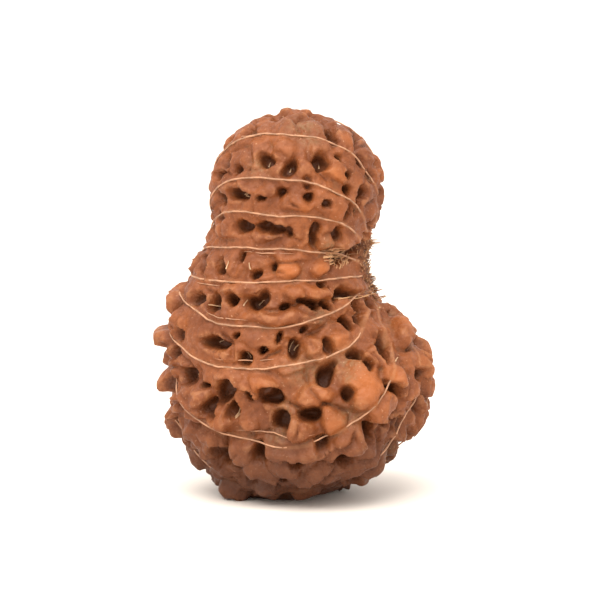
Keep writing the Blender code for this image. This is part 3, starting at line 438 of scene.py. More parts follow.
def cast_out(starts, directions):
    """Where straight lines from these places inside the smooth body leave it."""
    low = np.zeros(len(directions))
    high = np.full(len(directions), LARGEST_REACH)
    for _ in range(HALVINGS):
        middle = (low + high) / 2
        inside = body_distance(starts + directions * middle[:, None]) < 0
        low = np.where(inside, middle, low)
        high = np.where(inside, high, middle)
    return starts + directions * low[:, None]


def sight_axes():
    """Across, up and away for an eye in front of the stone and a little above it."""
    rise = math.radians(SIGHT_ELEVATION)
    across = np.array([1.0, 0.0, 0.0])
    up = np.array([0.0, math.sin(rise), math.cos(rise)])
    away = np.array([0.0, math.cos(rise), -math.sin(rise)])
    return across, up, away


def seen_on_front(marks):
    """The body's points that the eye sees at these places, across and up. Past its edge, the nearest."""
    across, up, away = sight_axes()
    depths = np.linspace(0.0, 2 * SIGHT_START, SIGHT_STEPS)
    found = []
    for mark in marks:
        start = across * mark[0] + up * mark[1] - away * SIGHT_START
        line = start + away * depths[:, None]
        distances = body_distance(line)
        inside = np.flatnonzero(distances < 0)
        first = inside[0] if len(inside) else distances.argmin()
        found.append(line[first])
    return onto_body(np.array(found))


def pole_axes():
    """From the tip to the stalk, and unit vectors square to that, to the top and to the front."""
    axis = np.array(STALK_POLE) - np.array(TIP_POLE)
    along = unit(axis)
    top = unit(np.array([0.0, 0.0, 1.0]) - along * along[2])
    front = np.cross(top, along)
    return axis, top, front if front[1] < 0 else -front


def meridian_place(points):
    """Share of the way from the tip to the stalk, distance from their axis, and angle from the top."""
    axis, top, front = pole_axes()
    away = points - np.array(TIP_POLE)
    share = away @ axis / (axis @ axis)
    rise = away @ top
    forward = away @ front
    return share, np.hypot(rise, forward), np.arctan2(forward, rise)


def suture_angle(suture, share):
    """A suture's angle at each share of the way, on a smooth curve through its three angles."""
    near_tip, midway, near_stalk = np.radians(suture)
    share = np.clip(share, 0.0, FARTHEST_SHARE)
    at_tip = 2 * (share - 0.5) * (share - 1)
    at_middle = 4 * share * (1 - share)
    at_stalk = 2 * share * (share - 0.5)
    return near_tip * at_tip + midway * at_middle + near_stalk * at_stalk


def suture_distance(points):
    """How far each point is from the nearest suture, and from the axis that the sutures turn about."""
    share, radius, angle = meridian_place(points)
    sway = noise_at(points, SUTURE_SWAY_LENGTH, SWAY_NOISE) * SUTURE_SWAY
    nearest = np.full(len(points), LARGEST_REACH)
    for suture in SUTURES:
        turn = angle - suture_angle(suture, share)
        beside = np.abs(radius * np.sin(turn) + sway)
        nearest = np.where(np.cos(turn) > 0, np.minimum(nearest, beside), nearest)
    return nearest, radius


def noise_at(points, length, shift):
    """Smooth noise between -1 and 1 whose lumps are about this long."""
    places = points / length + shift
    return np.array([noise.noise(place) for place in places.tolist()])


def shaken(points, stray):
    """The points moved about a little, so that round marks come out uneven."""
    strength, length, further = stray
    moves = [noise_at(points, length, shift + further) for shift in STRAY_NOISES]
    return points + strength * np.stack(moves, axis=1)


def mark_frame(centre, normal):
    """Unit vectors across and up on the surface at a mark."""
    across = np.array([1.0, 0.0, 0.0])
    across = across - normal * normal[0]
    if np.linalg.norm(across) < LEAST_TANGENT:
        across = np.array([0.0, 1.0, 0.0]) - normal * normal[1]
    across = unit(across)
    up = np.cross(across, normal)
    return across, up if up[2] > 0 else -up


def turned(across, up, angle):
    """Across and up with the top turned towards across by an angle."""
    cos_angle = math.cos(angle)
    sin_angle = math.sin(angle)
    return across * cos_angle - up * sin_angle, up * cos_angle + across * sin_angle


def front_marks(rows):
    """Marks seen on the front as (centre, across, up, half width, half height, share of full height)."""
    sight_across, sight_up, _ = sight_axes()
    centres = seen_on_front(rows)
    normals = body_normals(centres)
    marks = []
    for row, centre, normal in zip(rows, centres, normals):
        half_width, half_height, lean = row[2:5]
        share = row[5] if len(row) > 5 else 1.0
        across, up = mark_frame(centre, normal)
        half_width = half_width / max(abs(across @ sight_across), LEAST_FACING)
        half_height = half_height / max(abs(up @ sight_up), LEAST_FACING)
        marks.append((centre, *turned(across, up, math.radians(lean)), half_width, half_height, share))
    return marks


def scatter(rule, same_kind, other_kind, draw):
    """Marks on the sides and the back, clear of each other, the sutures and the scar."""
    directions = unit(draw.normal(size=(SCATTER_TRIES, 3)))
    points = cast_out(np.array(HEART), directions)
    normals = body_normals(points)
    away = sight_axes()[2]
    free = normals @ -away < FRONT_LIMIT
    free &= suture_distance(points)[0] > rule["suture"]
    free &= np.linalg.norm(points - scar_centre(), axis=1) > SCAR_RADIUS
    free &= (points[:, 2] > PLAIN_BELOW) | (normals @ away > 0.0)
    placed = [mark[0] for mark in same_kind]
    others = np.array([mark[0] for mark in other_kind])
    marks = []
    for point, normal in zip(points[free], normals[free]):
        if np.linalg.norm(np.array(placed) - point, axis=1).min() < rule["spacing"]:
            continue
        if np.linalg.norm(others - point, axis=1).min() < WELL_TO_KNOB:
            continue
        placed.append(point)
        across, up = turned(*mark_frame(point, normal), draw.uniform(0.0, math.pi))
        size = draw.uniform(*rule["sizes"])
        length = size * draw.uniform(1.0, rule["longest"])
        marks.append((point, across, up, size, length, draw.uniform(*rule["shares"])))
    return marks


def scar_centre():
    """The middle of the stalk scar, on the smooth body in the notch."""
    return seen_on_front((SCAR_SIGHT,))[0]


def tip_centre():
    """Where the axis leaves the smooth body at the tip."""
    return cast_out(np.array(HEART), unit(np.array(TIP_POLE) - np.array(HEART))[None])[0]


def all_marks():
    """The pits and the knobs of the whole stone."""
    draw = np.random.default_rng(SCATTER_SEED)
    wells = front_marks(FRONT_WELLS)
    knobs = front_marks(FRONT_KNOBS)
    for rule in (LARGE_WELLS, SMALL_WELLS):
        wells += scatter(rule, wells, knobs, draw)
    for rule in (LARGE_KNOBS, SMALL_KNOBS):
        knobs += scatter(rule, knobs, wells, draw)
    return wells, knobs


def mark_reach(points, mark):
    """Each point's distance from a mark's centre, counted in the mark's own half sizes."""
    centre, across, up, half_width, half_height, _ = mark
    away = points - centre
    reach = np.hypot(away @ across / half_width, away @ up / half_height)
    near = np.linalg.norm(away, axis=1) < MARK_LIMIT * max(half_width, half_height)
    return np.where(near, reach, LARGEST_REACH)


def relief(points, wells, knobs):
    """How far the skin stands out from the smooth body at each point, and how deep it is in a pit."""
    moved = shaken(points, COARSE_STRAY)
    rise = np.zeros(len(points))
    for mark in knobs:
        reach = mark_reach(moved, mark)
        lowness = smooth_step(-1.0, 1.0, (mark[0][2] - moved[:, 2]) / min(mark[3], mark[4]))
        brow = UPPER_BROW + (LOWER_BROW - UPPER_BROW) * lowness
        foot = UPPER_FOOT + (LOWER_FOOT - UPPER_FOOT) * lowness
        flat = (1.0 - smooth_step(brow, foot, reach)) * (1.0 - KNOB_TILT + 2.0 * KNOB_TILT * lowness)
        crown = KNOB_CROWN * np.clip(1.0 - np.square(reach), 0.0, 1.0)
        rise = np.maximum(rise, KNOB_RAISE * mark[5] * (flat + crown))
    hollow = np.zeros(len(points))
    for mark in wells:
        reach = mark_reach(moved, mark) / WELL_SPREAD
        size_share = SHALLOWEST_WELL + (1.0 - SHALLOWEST_WELL) * mark[3] / FULL_DEPTH_HALF_WIDTH
        depth = WELL_DEPTH * mark[5] * min(1.0, size_share)
        hollow = np.maximum(hollow, depth * (1.0 - smooth_step(WELL_FLOOR, WELL_RIM, reach)))
    gap, from_axis = suture_distance(points)
    groove = SUTURE_GROOVE * np.clip(from_axis / FULL_GROOVE_FROM_AXIS, LEAST_GROOVE, 1.0)
    band = 1.0 - SUTURE_DIP * np.exp(-np.square(gap / groove))
    coarseness = 1.0 - smooth_step(COARSE_BELOW, FINE_ABOVE, points[:, 2])
    knob_strength = FINE_RELIEF + (COARSE_RELIEF - FINE_RELIEF) * coarseness
    well_strength = FINE_WELLS + (COARSE_RELIEF - FINE_WELLS) * coarseness
    lumps = LUMP_HEIGHT * noise_at(points, LUMP_LENGTH, LUMP_NOISE)
    furrow = np.clip(1.0 - np.abs(noise_at(moved, FURROW_LENGTH, FURROW_NOISE)) / FURROW_WIDTH, 0.0, 1.0)
    hollow = np.maximum(hollow, FURROW_DEPTH * furrow * smooth_step(groove, 2 * groove, gap))
    height = band * (knob_strength * (BAND_SWELL + rise + lumps) - well_strength * hollow)
    height += GRAIN_HEIGHT * noise_at(points, GRAIN_LENGTH, GRAIN_NOISE)
    height += SUTURE_RAISE * np.exp(-np.square(gap / SUTURE_HALF_WIDTH))
    return with_poles_and_foot(points, height), hollow * band


def with_poles_and_foot(points, height):
    """The relief with the scar, the dimple at the tip and the even patch of the foot worked in."""
    from_scar = np.linalg.norm(points - scar_centre(), axis=1)
    from_scar = from_scar + SCAR_EDGE_STRAY * noise_at(points, SCAR_EDGE_LENGTH, EDGE_NOISE)
    scar = 1.0 - smooth_step(SCAR_RADIUS - SCAR_EDGE, SCAR_RADIUS, from_scar)
    bed = SCAR_ROUGHNESS * noise_at(points, SCAR_GRAIN, BED_NOISE) + SCAR_LIFT
    height = height * (1.0 - scar) + bed * scar
    from_tip = np.linalg.norm(points - tip_centre(), axis=1)
    height = height - TIP_DEPTH * (1.0 - smooth_step(TIP_FLOOR_RADIUS, TIP_RADIUS, from_tip))
    from_foot = np.hypot(points[:, 0] - FOOT_CENTRE[0], points[:, 1] - FOOT_CENTRE[1])
    under = (points[:, 2] < HEART[2]).astype(float)
    foot = under * (1.0 - smooth_step(FOOT_RADIUS, FOOT_RADIUS + FOOT_FADE, from_foot))
    return height * (1.0 - foot) + BAND_SWELL * foot


def foot_level():
    """The height at which the flat spot cuts the even patch, in the smooth body's own frame."""
    down = np.array([FOOT_CENTRE[0], FOOT_CENTRE[1], 0.0]) - np.array(HEART)
    lowest = cast_out(np.array(HEART), unit(down)[None])[0]
    return lowest[2] - BAND_SWELL + FOOT_CUT


def mesh_points(mesh):
    """A mesh's points as rows."""
    points = np.empty(len(mesh.vertices) * 3)
    mesh.vertices.foreach_get("co", points)
    return points.reshape(-1, 3)


def set_mesh_points(mesh, points):
    """Moves a mesh's points to these rows."""
    mesh.vertices.foreach_set("co", np.ascontiguousarray(points).ravel())
    mesh.update()


def make_plain(thing, kind, settings, inputs=()):
    """Gives the object the plain mesh that one modifier makes of it."""
    modifier = thing.modifiers.new(kind.title(), kind)
    for name, value in settings.items():
        setattr(modifier, name, value)
    for identifier, value in dict(inputs).items():
        modifier[identifier] = value
    bpy.context.view_layer.update()
    evaluated = thing.evaluated_get(bpy.context.evaluated_depsgraph_get())
    made = bpy.data.meshes.new_from_object(evaluated)
    thing.modifiers.clear()
    old = thing.data
    thing.data = made
    bpy.data.meshes.remove(old)
    return thing


def cut_foot(mesh, level):
    """Cuts the flat spot and closes it with one face."""
    shape = bmesh.new()
    shape.from_mesh(mesh)
    everything = shape.verts[:] + shape.edges[:] + shape.faces[:]
    bmesh.ops.bisect_plane(
        shape, geom=everything, dist=TINY, plane_co=(0, 0, level), plane_no=(0, 0, -1), clear_outer=True
    )
    rim = [edge for edge in shape.edges if edge.is_boundary]
    bmesh.ops.contextual_create(shape, geom=rim)
    bmesh.ops.recalc_face_normals(shape, faces=shape.faces[:])
    shape.to_mesh(mesh)
    shape.free()


def leaned(points, normals, height):
    """The skin's points: raised along the body's slope, with what stands high leaning down a little."""
    lean = LEAN_DOWN * np.maximum(height, 0.0)[:, None] * np.array([0.0, 0.0, -1.0])
    return points + normals * height[:, None] + lean


def creased(points):
    """From 1 in the creases between the skin's small blocks to 0 on them."""
    places = (shaken(points, COARSE_STRAY) / BLOCK_LENGTH).tolist()
    nearest = np.array([noise.voronoi(place)[0][:2] for place in places])
    return 1.0 - smooth_step(CREASE_FLOOR, CREASE_RIM, nearest[:, 1] - nearest[:, 0])


def fine_relief(points, wells, knobs):
    """The relief with torn edges, creases and small lumps; and the depth in a pit."""
    height, hollow = relief(shaken(points, FINE_STRAY), wells, knobs)
    patches = noise_at(points, CREASE_PATCH, CREASE_NOISE)
    uneven = smooth_step(-CREASE_PATCH_EDGE, CREASE_PATCH_EDGE, patches)
    open_skin = 1.0 - smooth_step(*CREASE_FREE_HOLLOW, hollow)
    height = height - CREASE_DEPTH * creased(points) * uneven * open_skin
    height = height + FINE_LUMP * noise_at(points, FINE_LUMP_LENGTH, FINE_NOISE)
    return height + FINE_GRAIN * noise_at(points, FINE_GRAIN_LENGTH, FINE_NOISE), hollow


def nearness(points, spots):
    """Closeness of each point to the nearest of these spots, given as centre, radius and strength."""
    found = np.zeros(len(points))
    for centre, radius, strength in spots:
        away = np.linalg.norm(points - centre, axis=1) / radius
        found = np.maximum(found, strength * np.exp(-np.square(away)))
    return found


def front_spots(rows):
    """Spots of the front as centre, radius and strength, which is 1 where the row has none."""
    return [(centre, row[2], (*row, 1.0)[3]) for row, centre in zip(rows, seen_on_front(rows))]


def warm_spots_behind(knobs):
    """The knobs of the sides and the back that are drawn to be orange."""
    draw = np.random.default_rng(WARM_SEED)
    spots = []
    for mark in knobs[len(FRONT_KNOBS):]:
        if draw.uniform() < WARM_SHARE_BEHIND:
            spots.append((mark[0], max(mark[3:5]), draw.uniform()))
    return spots


def smoothed_over(mesh, values, rounds):
    """The values evened out over the mesh, each point taking the mean of its neighbours in turn."""
    ends = np.empty(len(mesh.edges) * 2, dtype=np.int64)
    mesh.edges.foreach_get("vertices", ends)
    first, second = ends.reshape(-1, 2).T
    count = len(mesh.vertices)
    neighbours = np.bincount(first, minlength=count) + np.bincount(second, minlength=count)
    for _ in range(rounds):
        gathered = np.bincount(first, values[second], count) + np.bincount(second, values[first], count)
        values = (values + gathered / neighbours) / 2
    return values


def store(mesh, name, values):
    """Keeps one number a point on the mesh, for the materials to read."""
    attribute = mesh.attributes.new(name, "FLOAT", "POINT")
    attribute.data.foreach_set("value", values.astype(np.float32))


def make_stone(wells, knobs):
    """The finished stone, and the shift from the smooth body's own frame to the CAD part's."""
    bpy.ops.mesh.primitive_ico_sphere_add(subdivisions=SPHERE_SUBDIVISIONS, radius=1.0)
    stone = bpy.context.active_object
    stone.name = "seed_stone"
    stone.data.name = "seed_stone"
    set_mesh_points(stone.data, cast_out(np.array(HEART), unit(mesh_points(stone.data))))
    make_plain(stone, "REMESH", {"mode": "VOXEL", "voxel_size": FINE_FACE})
    make_plain(stone, "SMOOTH", {"factor": EVENING, "iterations": EVENING_ROUNDS})
    mesh = stone.data
    smooth = onto_body(mesh_points(mesh))
    height, hollow = fine_relief(smooth, wells, knobs)
    set_mesh_points(mesh, leaned(smooth, body_normals(smooth), height))
    store(mesh, "height", height)
    store(mesh, "hollow", hollow)
    store(mesh, "sunk", smoothed_over(mesh, height, SMOOTH_HEIGHT_ROUNDS) - height)
    store(mesh, "beside_suture", suture_distance(smooth)[0])
    store(mesh, "from_scar", np.linalg.norm(smooth - scar_centre(), axis=1))
    store(mesh, "warmth", nearness(smooth, front_spots(WARM_SPOTS) + warm_spots_behind(knobs)))
    store(mesh, "dustiness", nearness(smooth, front_spots(DUSTY_SPOTS)))
    cut_foot(mesh, foot_level())
    points = mesh_points(mesh)
    middle = (points.min(axis=0) + points.max(axis=0)) / 2
    shift = np.array([middle[0], middle[1], points[:, 2].min()])
    set_mesh_points(mesh, points - shift)
    mesh.transform(Matrix.Scale(MM, 4))
    mesh.shade_smooth()
    mesh.materials.clear()
    mesh.materials.append(seed_skin())
    return stone, shift


def around_axis(starts, angle):
    """Where rays from the axis at these angles last leave the smooth body, and which rays meet it."""
    _, top, front = pole_axes()
    directions = top * np.cos(angle)[:, None] + front * np.sin(angle)[:, None]
    reaches = np.arange(0.0, FARTHEST_FROM_AXIS, THREAD_STEP)
    inside = np.stack([body_distance(starts + directions * reach) < 0.0 for reach in reaches])
    last = len(reaches) - 1 - np.argmax(inside[::-1], axis=0)
    return cast_out(starts + directions * reaches[last][:, None], directions), inside.any(axis=0)


def suture_line(suture, turn):
    """Points along one suture on the smooth body, from near the tip to the scar or past it on the lobes."""
    axis = pole_axes()[0]
    count = int(LAST_SHARE * np.linalg.norm(axis) / THREAD_STEP * 2)
    shares = np.linspace(0.0, LAST_SHARE, count)
    starts = np.array(TIP_POLE) + axis * shares[:, None]
    angle = suture_angle(suture, shares) + math.radians(turn)
    line, found = around_axis(starts, angle)
    line, starts, angle = line[found], starts[found], angle[found]
    sway = noise_at(line, SUTURE_SWAY_LENGTH, SWAY_NOISE) * SUTURE_SWAY
    angle = angle - np.arcsin(np.clip(sway / meridian_place(line)[1], -1.0, 1.0))
    line, found = around_axis(starts, angle)
    line = line[found]
    line = line[np.linalg.norm(line - tip_centre(), axis=1) > CLEAR_OF_TIP]
    at_scar = np.linalg.norm(line - scar_centre(), axis=1) < CLEAR_OF_SCAR
    line = line[np.cumsum(at_scar) == 0]
    length = np.concatenate([[0.0], np.cumsum(np.linalg.norm(np.diff(line, axis=0), axis=1))])
    even = np.arange(0.0, length[-1], THREAD_STEP)
    return onto_body(np.stack([np.interp(even, length, line[:, side]) for side in range(3)], axis=1))


def windows(values):
    """For each value along a thread, the values within reach of a bridge from it."""
    padded = np.pad(values, BRIDGE, mode="edge")
    return np.lib.stride_tricks.sliding_window_view(padded, 2 * BRIDGE + 1)


def bridged(height):
    """Heights along a thread that hangs over short pits: between the highest and the mean near by."""
    near = windows(height)
    hung = near.max(axis=1) * BRIDGE_TO_HIGHEST + near.mean(axis=1) * (1.0 - BRIDGE_TO_HIGHEST)
    return windows(hung).mean(axis=1)


def thread_path(suture, turn, sink, marks):
    """A suture thread's points on the finished skin, sinking into it here and there."""
    line = suture_line(suture, turn)
    height = bridged(fine_relief(line, *marks)[0]) + THREAD_LIFT - sink
    facing = body_normals(line) @ -sight_axes()[2]
    fade = smooth_step(FADE_FROM, 2 * FADE_FROM, noise_at(line, FADE_LENGTH, FADE_NOISE))
    fade = fade * smooth_step(FRONT_LIMIT, 0.0, facing)
    fade = np.maximum(fade, nearness(line, front_spots(HIDDEN_THREADS)))
    low = smooth_step(FOOT_SINK_START, FOOT_SINK_FULL, line[:, 2])
    path = leaned(line, body_normals(line), height - THREAD_FADE * fade - THREAD_FOOT_SINK * low)
    return path + THREAD_WAVER * (shaken(path, FINE_STRAY) - path)


def runs_above_foot(path, radius):
    """The lengths of a thread that stay clear of the foot, each with its thickness."""
    high = path[:, 2] > THREAD_END
    cuts = np.flatnonzero(high[1:] != high[:-1]) + 1
    lengths = zip(np.split(path, cuts), np.split(radius, cuts), np.split(high, cuts))
    return [(points, thickness) for points, thickness, kept in lengths if kept[0] and len(points) > 1]


def grow(tree, kind, presets=(), **settings):
    """Adds a node to a tree, with its own settings and the values of some inputs."""
    node = tree.nodes.new(kind)
    for name, value in settings.items():
        setattr(node, name, value)
    for name, value in dict(presets).items():
        node.inputs[name].default_value = value
    return node


def wire(tree, links):
    """Joins nodes, each row from one node's output to another's input."""
    for source, output, target, name in links:
        tree.links.new(source.outputs[output], target.inputs[name])


def new_tree(name, inputs):
    """A Geometry Nodes tree, its group input node and its inputs' identifiers."""
    tree = bpy.data.node_groups.new(name, "GeometryNodeTree")
    names = {}
    for socket, kind in inputs.items():
        made = tree.interface.new_socket(socket, in_out="INPUT", socket_type=f"NodeSocket{kind}")
        names[socket] = made.identifier
    tree.interface.new_socket("Made", in_out="OUTPUT", socket_type="NodeSocketGeometry")
    return tree, grow(tree, "NodeGroupInput"), names


def end_tree(tree, last, output, material):
    """Ends a tree with its result shaded smooth, realized and painted."""
    smooth = grow(tree, "GeometryNodeSetShadeSmooth")
    whole = grow(tree, "GeometryNodeRealizeInstances")
    paint = grow(tree, "GeometryNodeSetMaterial", {"Material": material})
    wire(tree, (
        (last, output, smooth, "Geometry"),
        (smooth, "Geometry", whole, "Geometry"),
        (whole, "Geometry", paint, "Geometry"),
        (paint, "Geometry", grow(tree, "NodeGroupOutput"), "Made"),
    ))


def thread_tree(material):
    """Geometry Nodes that turn edges into round threads, with their sides as an input."""
    tree, given, names = new_tree("Threads along paths", {"Paths": "Geometry", "Sides": "Int"})
    curve = grow(tree, "GeometryNodeMeshToCurve")
    section = grow(tree, "GeometryNodeCurvePrimitiveCircle", {"Radius": 1.0})
    thickness = grow(tree, "GeometryNodeInputNamedAttribute", {"Name": "thickness"}, data_type="FLOAT")
    tube = grow(tree, "GeometryNodeCurveToMesh", {"Fill Caps": True})
    wire(tree, (
        (given, "Paths", curve, "Mesh"),
        (curve, "Curve", tube, "Curve"),
        (given, "Sides", section, "Resolution"),
        (section, "Curve", tube, "Profile Curve"),
        (thickness, "Attribute", tube, "Scale"),
    ))
    end_tree(tree, tube, "Mesh", material)
    return tree, names


def make_tubes(name, paths, radii, tints, material, shift):
    """Round threads along the paths, each point with its own thickness and each path with its tint."""
    rows = []
    edges = []
    for path in paths:
        start = len(rows)
        rows.extend(((path - shift) * MM).tolist())
        edges.extend((start + step, start + step + 1) for step in range(len(path) - 1))
    mesh = bpy.data.meshes.new(name)
    mesh.from_pydata(rows, edges, [])
    store(mesh, "thickness", np.concatenate(radii) * MM)
    store(mesh, "tint", np.repeat(tints, [len(path) for path in paths]))
    thing = bpy.data.objects.new(name, mesh)
    bpy.context.scene.collection.objects.link(thing)
    tree, names = thread_tree(material)
    return make_plain(thing, "NODES", {"node_group": tree}, {names["Sides"]: THREAD_SIDES})


def make_suture_threads(marks, shift):
    """The thin pale threads along the sutures, doubled here and there."""
    draw = np.random.default_rng(THREAD_SEED)
    runs = []
    for suture in SUTURES:
        path = thread_path(suture, 0.0, 0.0, marks)
        swell = THREAD_SWELL * noise_at(path, THREAD_SWELL_LENGTH, THREAD_SWELL_NOISE)
        runs += runs_above_foot(path, THREAD_RADIUS * (1.0 + swell))
        strand = thread_path(suture, draw.choice([-1.0, 1.0]) * STRAND_ANGLE, STRAND_SINK, marks)
        first = int(draw.uniform(*STRAND_STARTS) * len(strand))
        last = first + int(draw.uniform(*STRAND_SHARES) * len(strand))
        swell = np.sin(np.linspace(STRAND_TIP, math.pi - STRAND_TIP, last - first))
        runs += runs_above_foot(strand[first:last], THREAD_RADIUS * STRAND_THINNESS * swell)
    paths, radii = zip(*runs)
    material = pale_fibre("thread_fibre", THREAD_COLOUR)
    return make_tubes("suture_threads", paths, radii, draw.uniform(size=len(runs)), material, shift)


def fibre_path(centre, direction, length, draw):
    """A short bowed fibre through a place on the smooth body, lying along a direction."""
    side = np.cross(body_normals(centre[None])[0], direction)
    share = np.linspace(-0.5, 0.5, FIBRE_POINTS)
    path = centre + direction * (share * length)[:, None]
    return path + side * (FIBRE_BOW * length * (0.25 - np.square(share)) * draw.uniform(-1.0, 1.0))[:, None]


def laid_on_body(lines, marks):
    """The fibres' points on the smooth body, and the finished skin's height there, a row for each."""
    points = onto_body(np.concatenate(lines))
    return points, fine_relief(points, *marks)[0].reshape(-1, FIBRE_POINTS)


def make_pit_fibres(marks, shift):
    """The short pale fibres caught in pits: those of the front by place, the others by a rule."""
    draw = np.random.default_rng(TUFT_SEED)
    places = []
    for row, centre in zip(PIT_FIBRES, seen_on_front(PIT_FIBRES)):
        across, up = mark_frame(centre, body_normals(centre[None])[0])
        places.append((centre, turned(across, up, math.radians(row[3]))[1], row[2]))
    for centre, across, up, half_width, _, _ in marks[0][len(FRONT_WELLS):]:
        if draw.uniform() < PIT_FIBRE_SHARE_BEHIND and centre[2] > FOOT_SINK_FULL:
            direction = turned(up, across, draw.uniform(0.0, math.pi))[1]
            places.append((centre, direction, PIT_FIBRE_SPAN * half_width))
    points, height = laid_on_body([fibre_path(*place, draw) for place in places], marks)
    floor = height.min(axis=1, keepdims=True)
    hung = floor + PIT_FIBRE_DEPTH + draw.uniform(*PIT_FIBRE_LEVELS, size=floor.shape)
    level = np.minimum(hung + PIT_FIBRE_FOLLOW * (height - floor), height + PIT_FIBRE_RADIUS)
    paths = leaned(points, body_normals(points), level.ravel()).reshape(-1, FIBRE_POINTS, 3)
    radii = [PIT_FIBRE_RADIUS * np.linspace(*PIT_FIBRE_ENDS, FIBRE_POINTS)] * len(places)
    material = pale_fibre("pit_fibre", PIT_FIBRE_COLOUR)
    return make_tubes("pit_fibres", paths, radii, draw.uniform(size=len(places)), material, shift)


def make_torn_fibres(marks, shift):
    """The torn fibres that lie and stand in tufts on the skin in front of the scar."""
    draw = np.random.default_rng(TUFT_SEED)
    lines = []
    rises = []
    for across, up, half_width, half_height, count, lean, length, rise in TORN_CLUSTERS:
        spread = draw.uniform(-1.0, 1.0, size=(count, 2)) * (half_width, half_height)
        for centre in seen_on_front(spread + (across, up)):
            side, top = mark_frame(centre, body_normals(centre[None])[0])
            direction = turned(side, top, math.radians(lean + draw.normal() * TORN_TURN))[1]
            lines.append(fibre_path(centre, direction, length * draw.uniform(*TORN_LENGTHS), draw))
            rises.append(rise * draw.uniform(*TORN_RISES) + 2 * PIT_FIBRE_RADIUS * draw.uniform())
    points, height = laid_on_body(lines, marks)
    height = height.max(axis=1, keepdims=True) * TORN_TO_HIGHEST + height * (1.0 - TORN_TO_HIGHEST)
    level = height + np.outer(rises, np.linspace(*TORN_RISE_ENDS, FIBRE_POINTS))
    paths = (points + body_normals(points) * level.ravel()[:, None]).reshape(-1, FIBRE_POINTS, 3)
    radii = [TORN_RADIUS * np.linspace(*TORN_ENDS, FIBRE_POINTS)] * len(lines)
    tints = draw.uniform(*TORN_TINTS, size=len(lines))
    return make_tubes("torn_fibres", paths, radii, tints, torn_fibre(), shift)


def brush_tree(material):
    """Geometry Nodes that set curved, tapered fibres over a patch of skin."""
    tree, given, names = new_tree("Broken fibres", {
        "Patch": "Geometry", "Fibres a square metre": "Float", "Shortest": "Float", "Longest": "Float",
        "Thickness": "Float", "Seed": "Int",
    })
    spread = grow(tree, "GeometryNodeDistributePointsOnFaces")
    stroke = grow(tree, "GeometryNodeCurveQuadraticBezier", {"Resolution": BRUSH_STEPS, **BRUSH_CURVE})
    along = grow(tree, "GeometryNodeSplineParameter")
    taper = grow(tree, "ShaderNodeMapRange", {"To Min": 1.0, "To Max": BRUSH_TAPER})
    section = grow(tree, "GeometryNodeCurvePrimitiveCircle", {"Resolution": BRUSH_SIDES})
    fibre = grow(tree, "GeometryNodeCurveToMesh", {"Fill Caps": True})
    slim = grow(tree, "ShaderNodeMath", operation="DIVIDE")
    outward = grow(tree, "FunctionNodeAlignRotationToVector", axis="Z")
    wildest = (BRUSH_TILT, BRUSH_TILT, math.pi)
    limits = {"Min": tuple(-limit for limit in wildest), "Max": wildest}
    wild = grow(tree, "FunctionNodeRandomValue", limits, data_type="FLOAT_VECTOR")
    turn = grow(tree, "FunctionNodeEulerToRotation")
    both_turns = grow(tree, "FunctionNodeRotateRotation", rotation_space="LOCAL")
    size = grow(tree, "FunctionNodeRandomValue", data_type="FLOAT")
    tint = grow(tree, "FunctionNodeRandomValue", data_type="FLOAT")
    place = grow(tree, "GeometryNodeInstanceOnPoints")
    settings = {"data_type": "FLOAT", "domain": "INSTANCE"}
    keep_tint = grow(tree, "GeometryNodeStoreNamedAttribute", {"Name": "tint"}, **settings)
    wire(tree, (
        (given, "Patch", spread, "Mesh"),
        (given, "Fibres a square metre", spread, "Density"),
        (given, "Seed", spread, "Seed"),
        (along, "Factor", taper, "Value"),
        (given, "Thickness", slim, 0),
        (given, "Longest", slim, 1),
        (slim, "Value", section, "Radius"),
        (stroke, "Curve", fibre, "Curve"),
        (section, "Curve", fibre, "Profile Curve"),
        (taper, "Result", fibre, "Scale"),
        (spread, "Normal", outward, "Vector"),
        (wild, "Value", turn, "Euler"),
        (outward, "Rotation", both_turns, "Rotation"),
        (turn, "Rotation", both_turns, "Rotate By"),
        (given, "Shortest", size, "Min"),
        (given, "Longest", size, "Max"),
        (given, "Seed", tint, "Seed"),
        (spread, "Points", place, "Points"),
        (fibre, "Mesh", place, "Instance"),
        (both_turns, "Rotation", place, "Rotation"),
        (size, "Value", place, "Scale"),
        (place, "Instances", keep_tint, "Geometry"),
        (tint, "Value", keep_tint, "Value"),
    ))
    end_tree(tree, keep_tint, "Geometry", material)
    return tree, names


def make_scar_fibres(stone, shift):
    """The brush of torn fibres in the notch where the stalk broke off, on a copy of the scar's skin."""
    shape = bmesh.new()
    shape.from_mesh(stone.data)
    centre = Vector((scar_centre() - shift) * MM)
    reach = BRUSH_REACH * SCAR_RADIUS * MM
    far = [face for face in shape.faces if (face.calc_center_median() - centre).length > reach]
    bmesh.ops.delete(shape, geom=far, context="FACES")
    mesh = bpy.data.meshes.new("scar_fibres")
    shape.to_mesh(mesh)
    shape.free()
    patch = bpy.data.objects.new("scar_fibres", mesh)
    bpy.context.scene.collection.objects.link(patch)
    tree, names = brush_tree(torn_fibre())
    return make_plain(patch, "NODES", {"node_group": tree}, {
        names["Fibres a square metre"]: BRUSH_DENSITY / MM / MM,
        names["Shortest"]: BRUSH_LENGTH[0] * MM,
        names["Longest"]: BRUSH_LENGTH[1] * MM,
        names["Thickness"]: BRUSH_RADIUS * MM,
        names["Seed"]: BRUSH_SEED,
    })


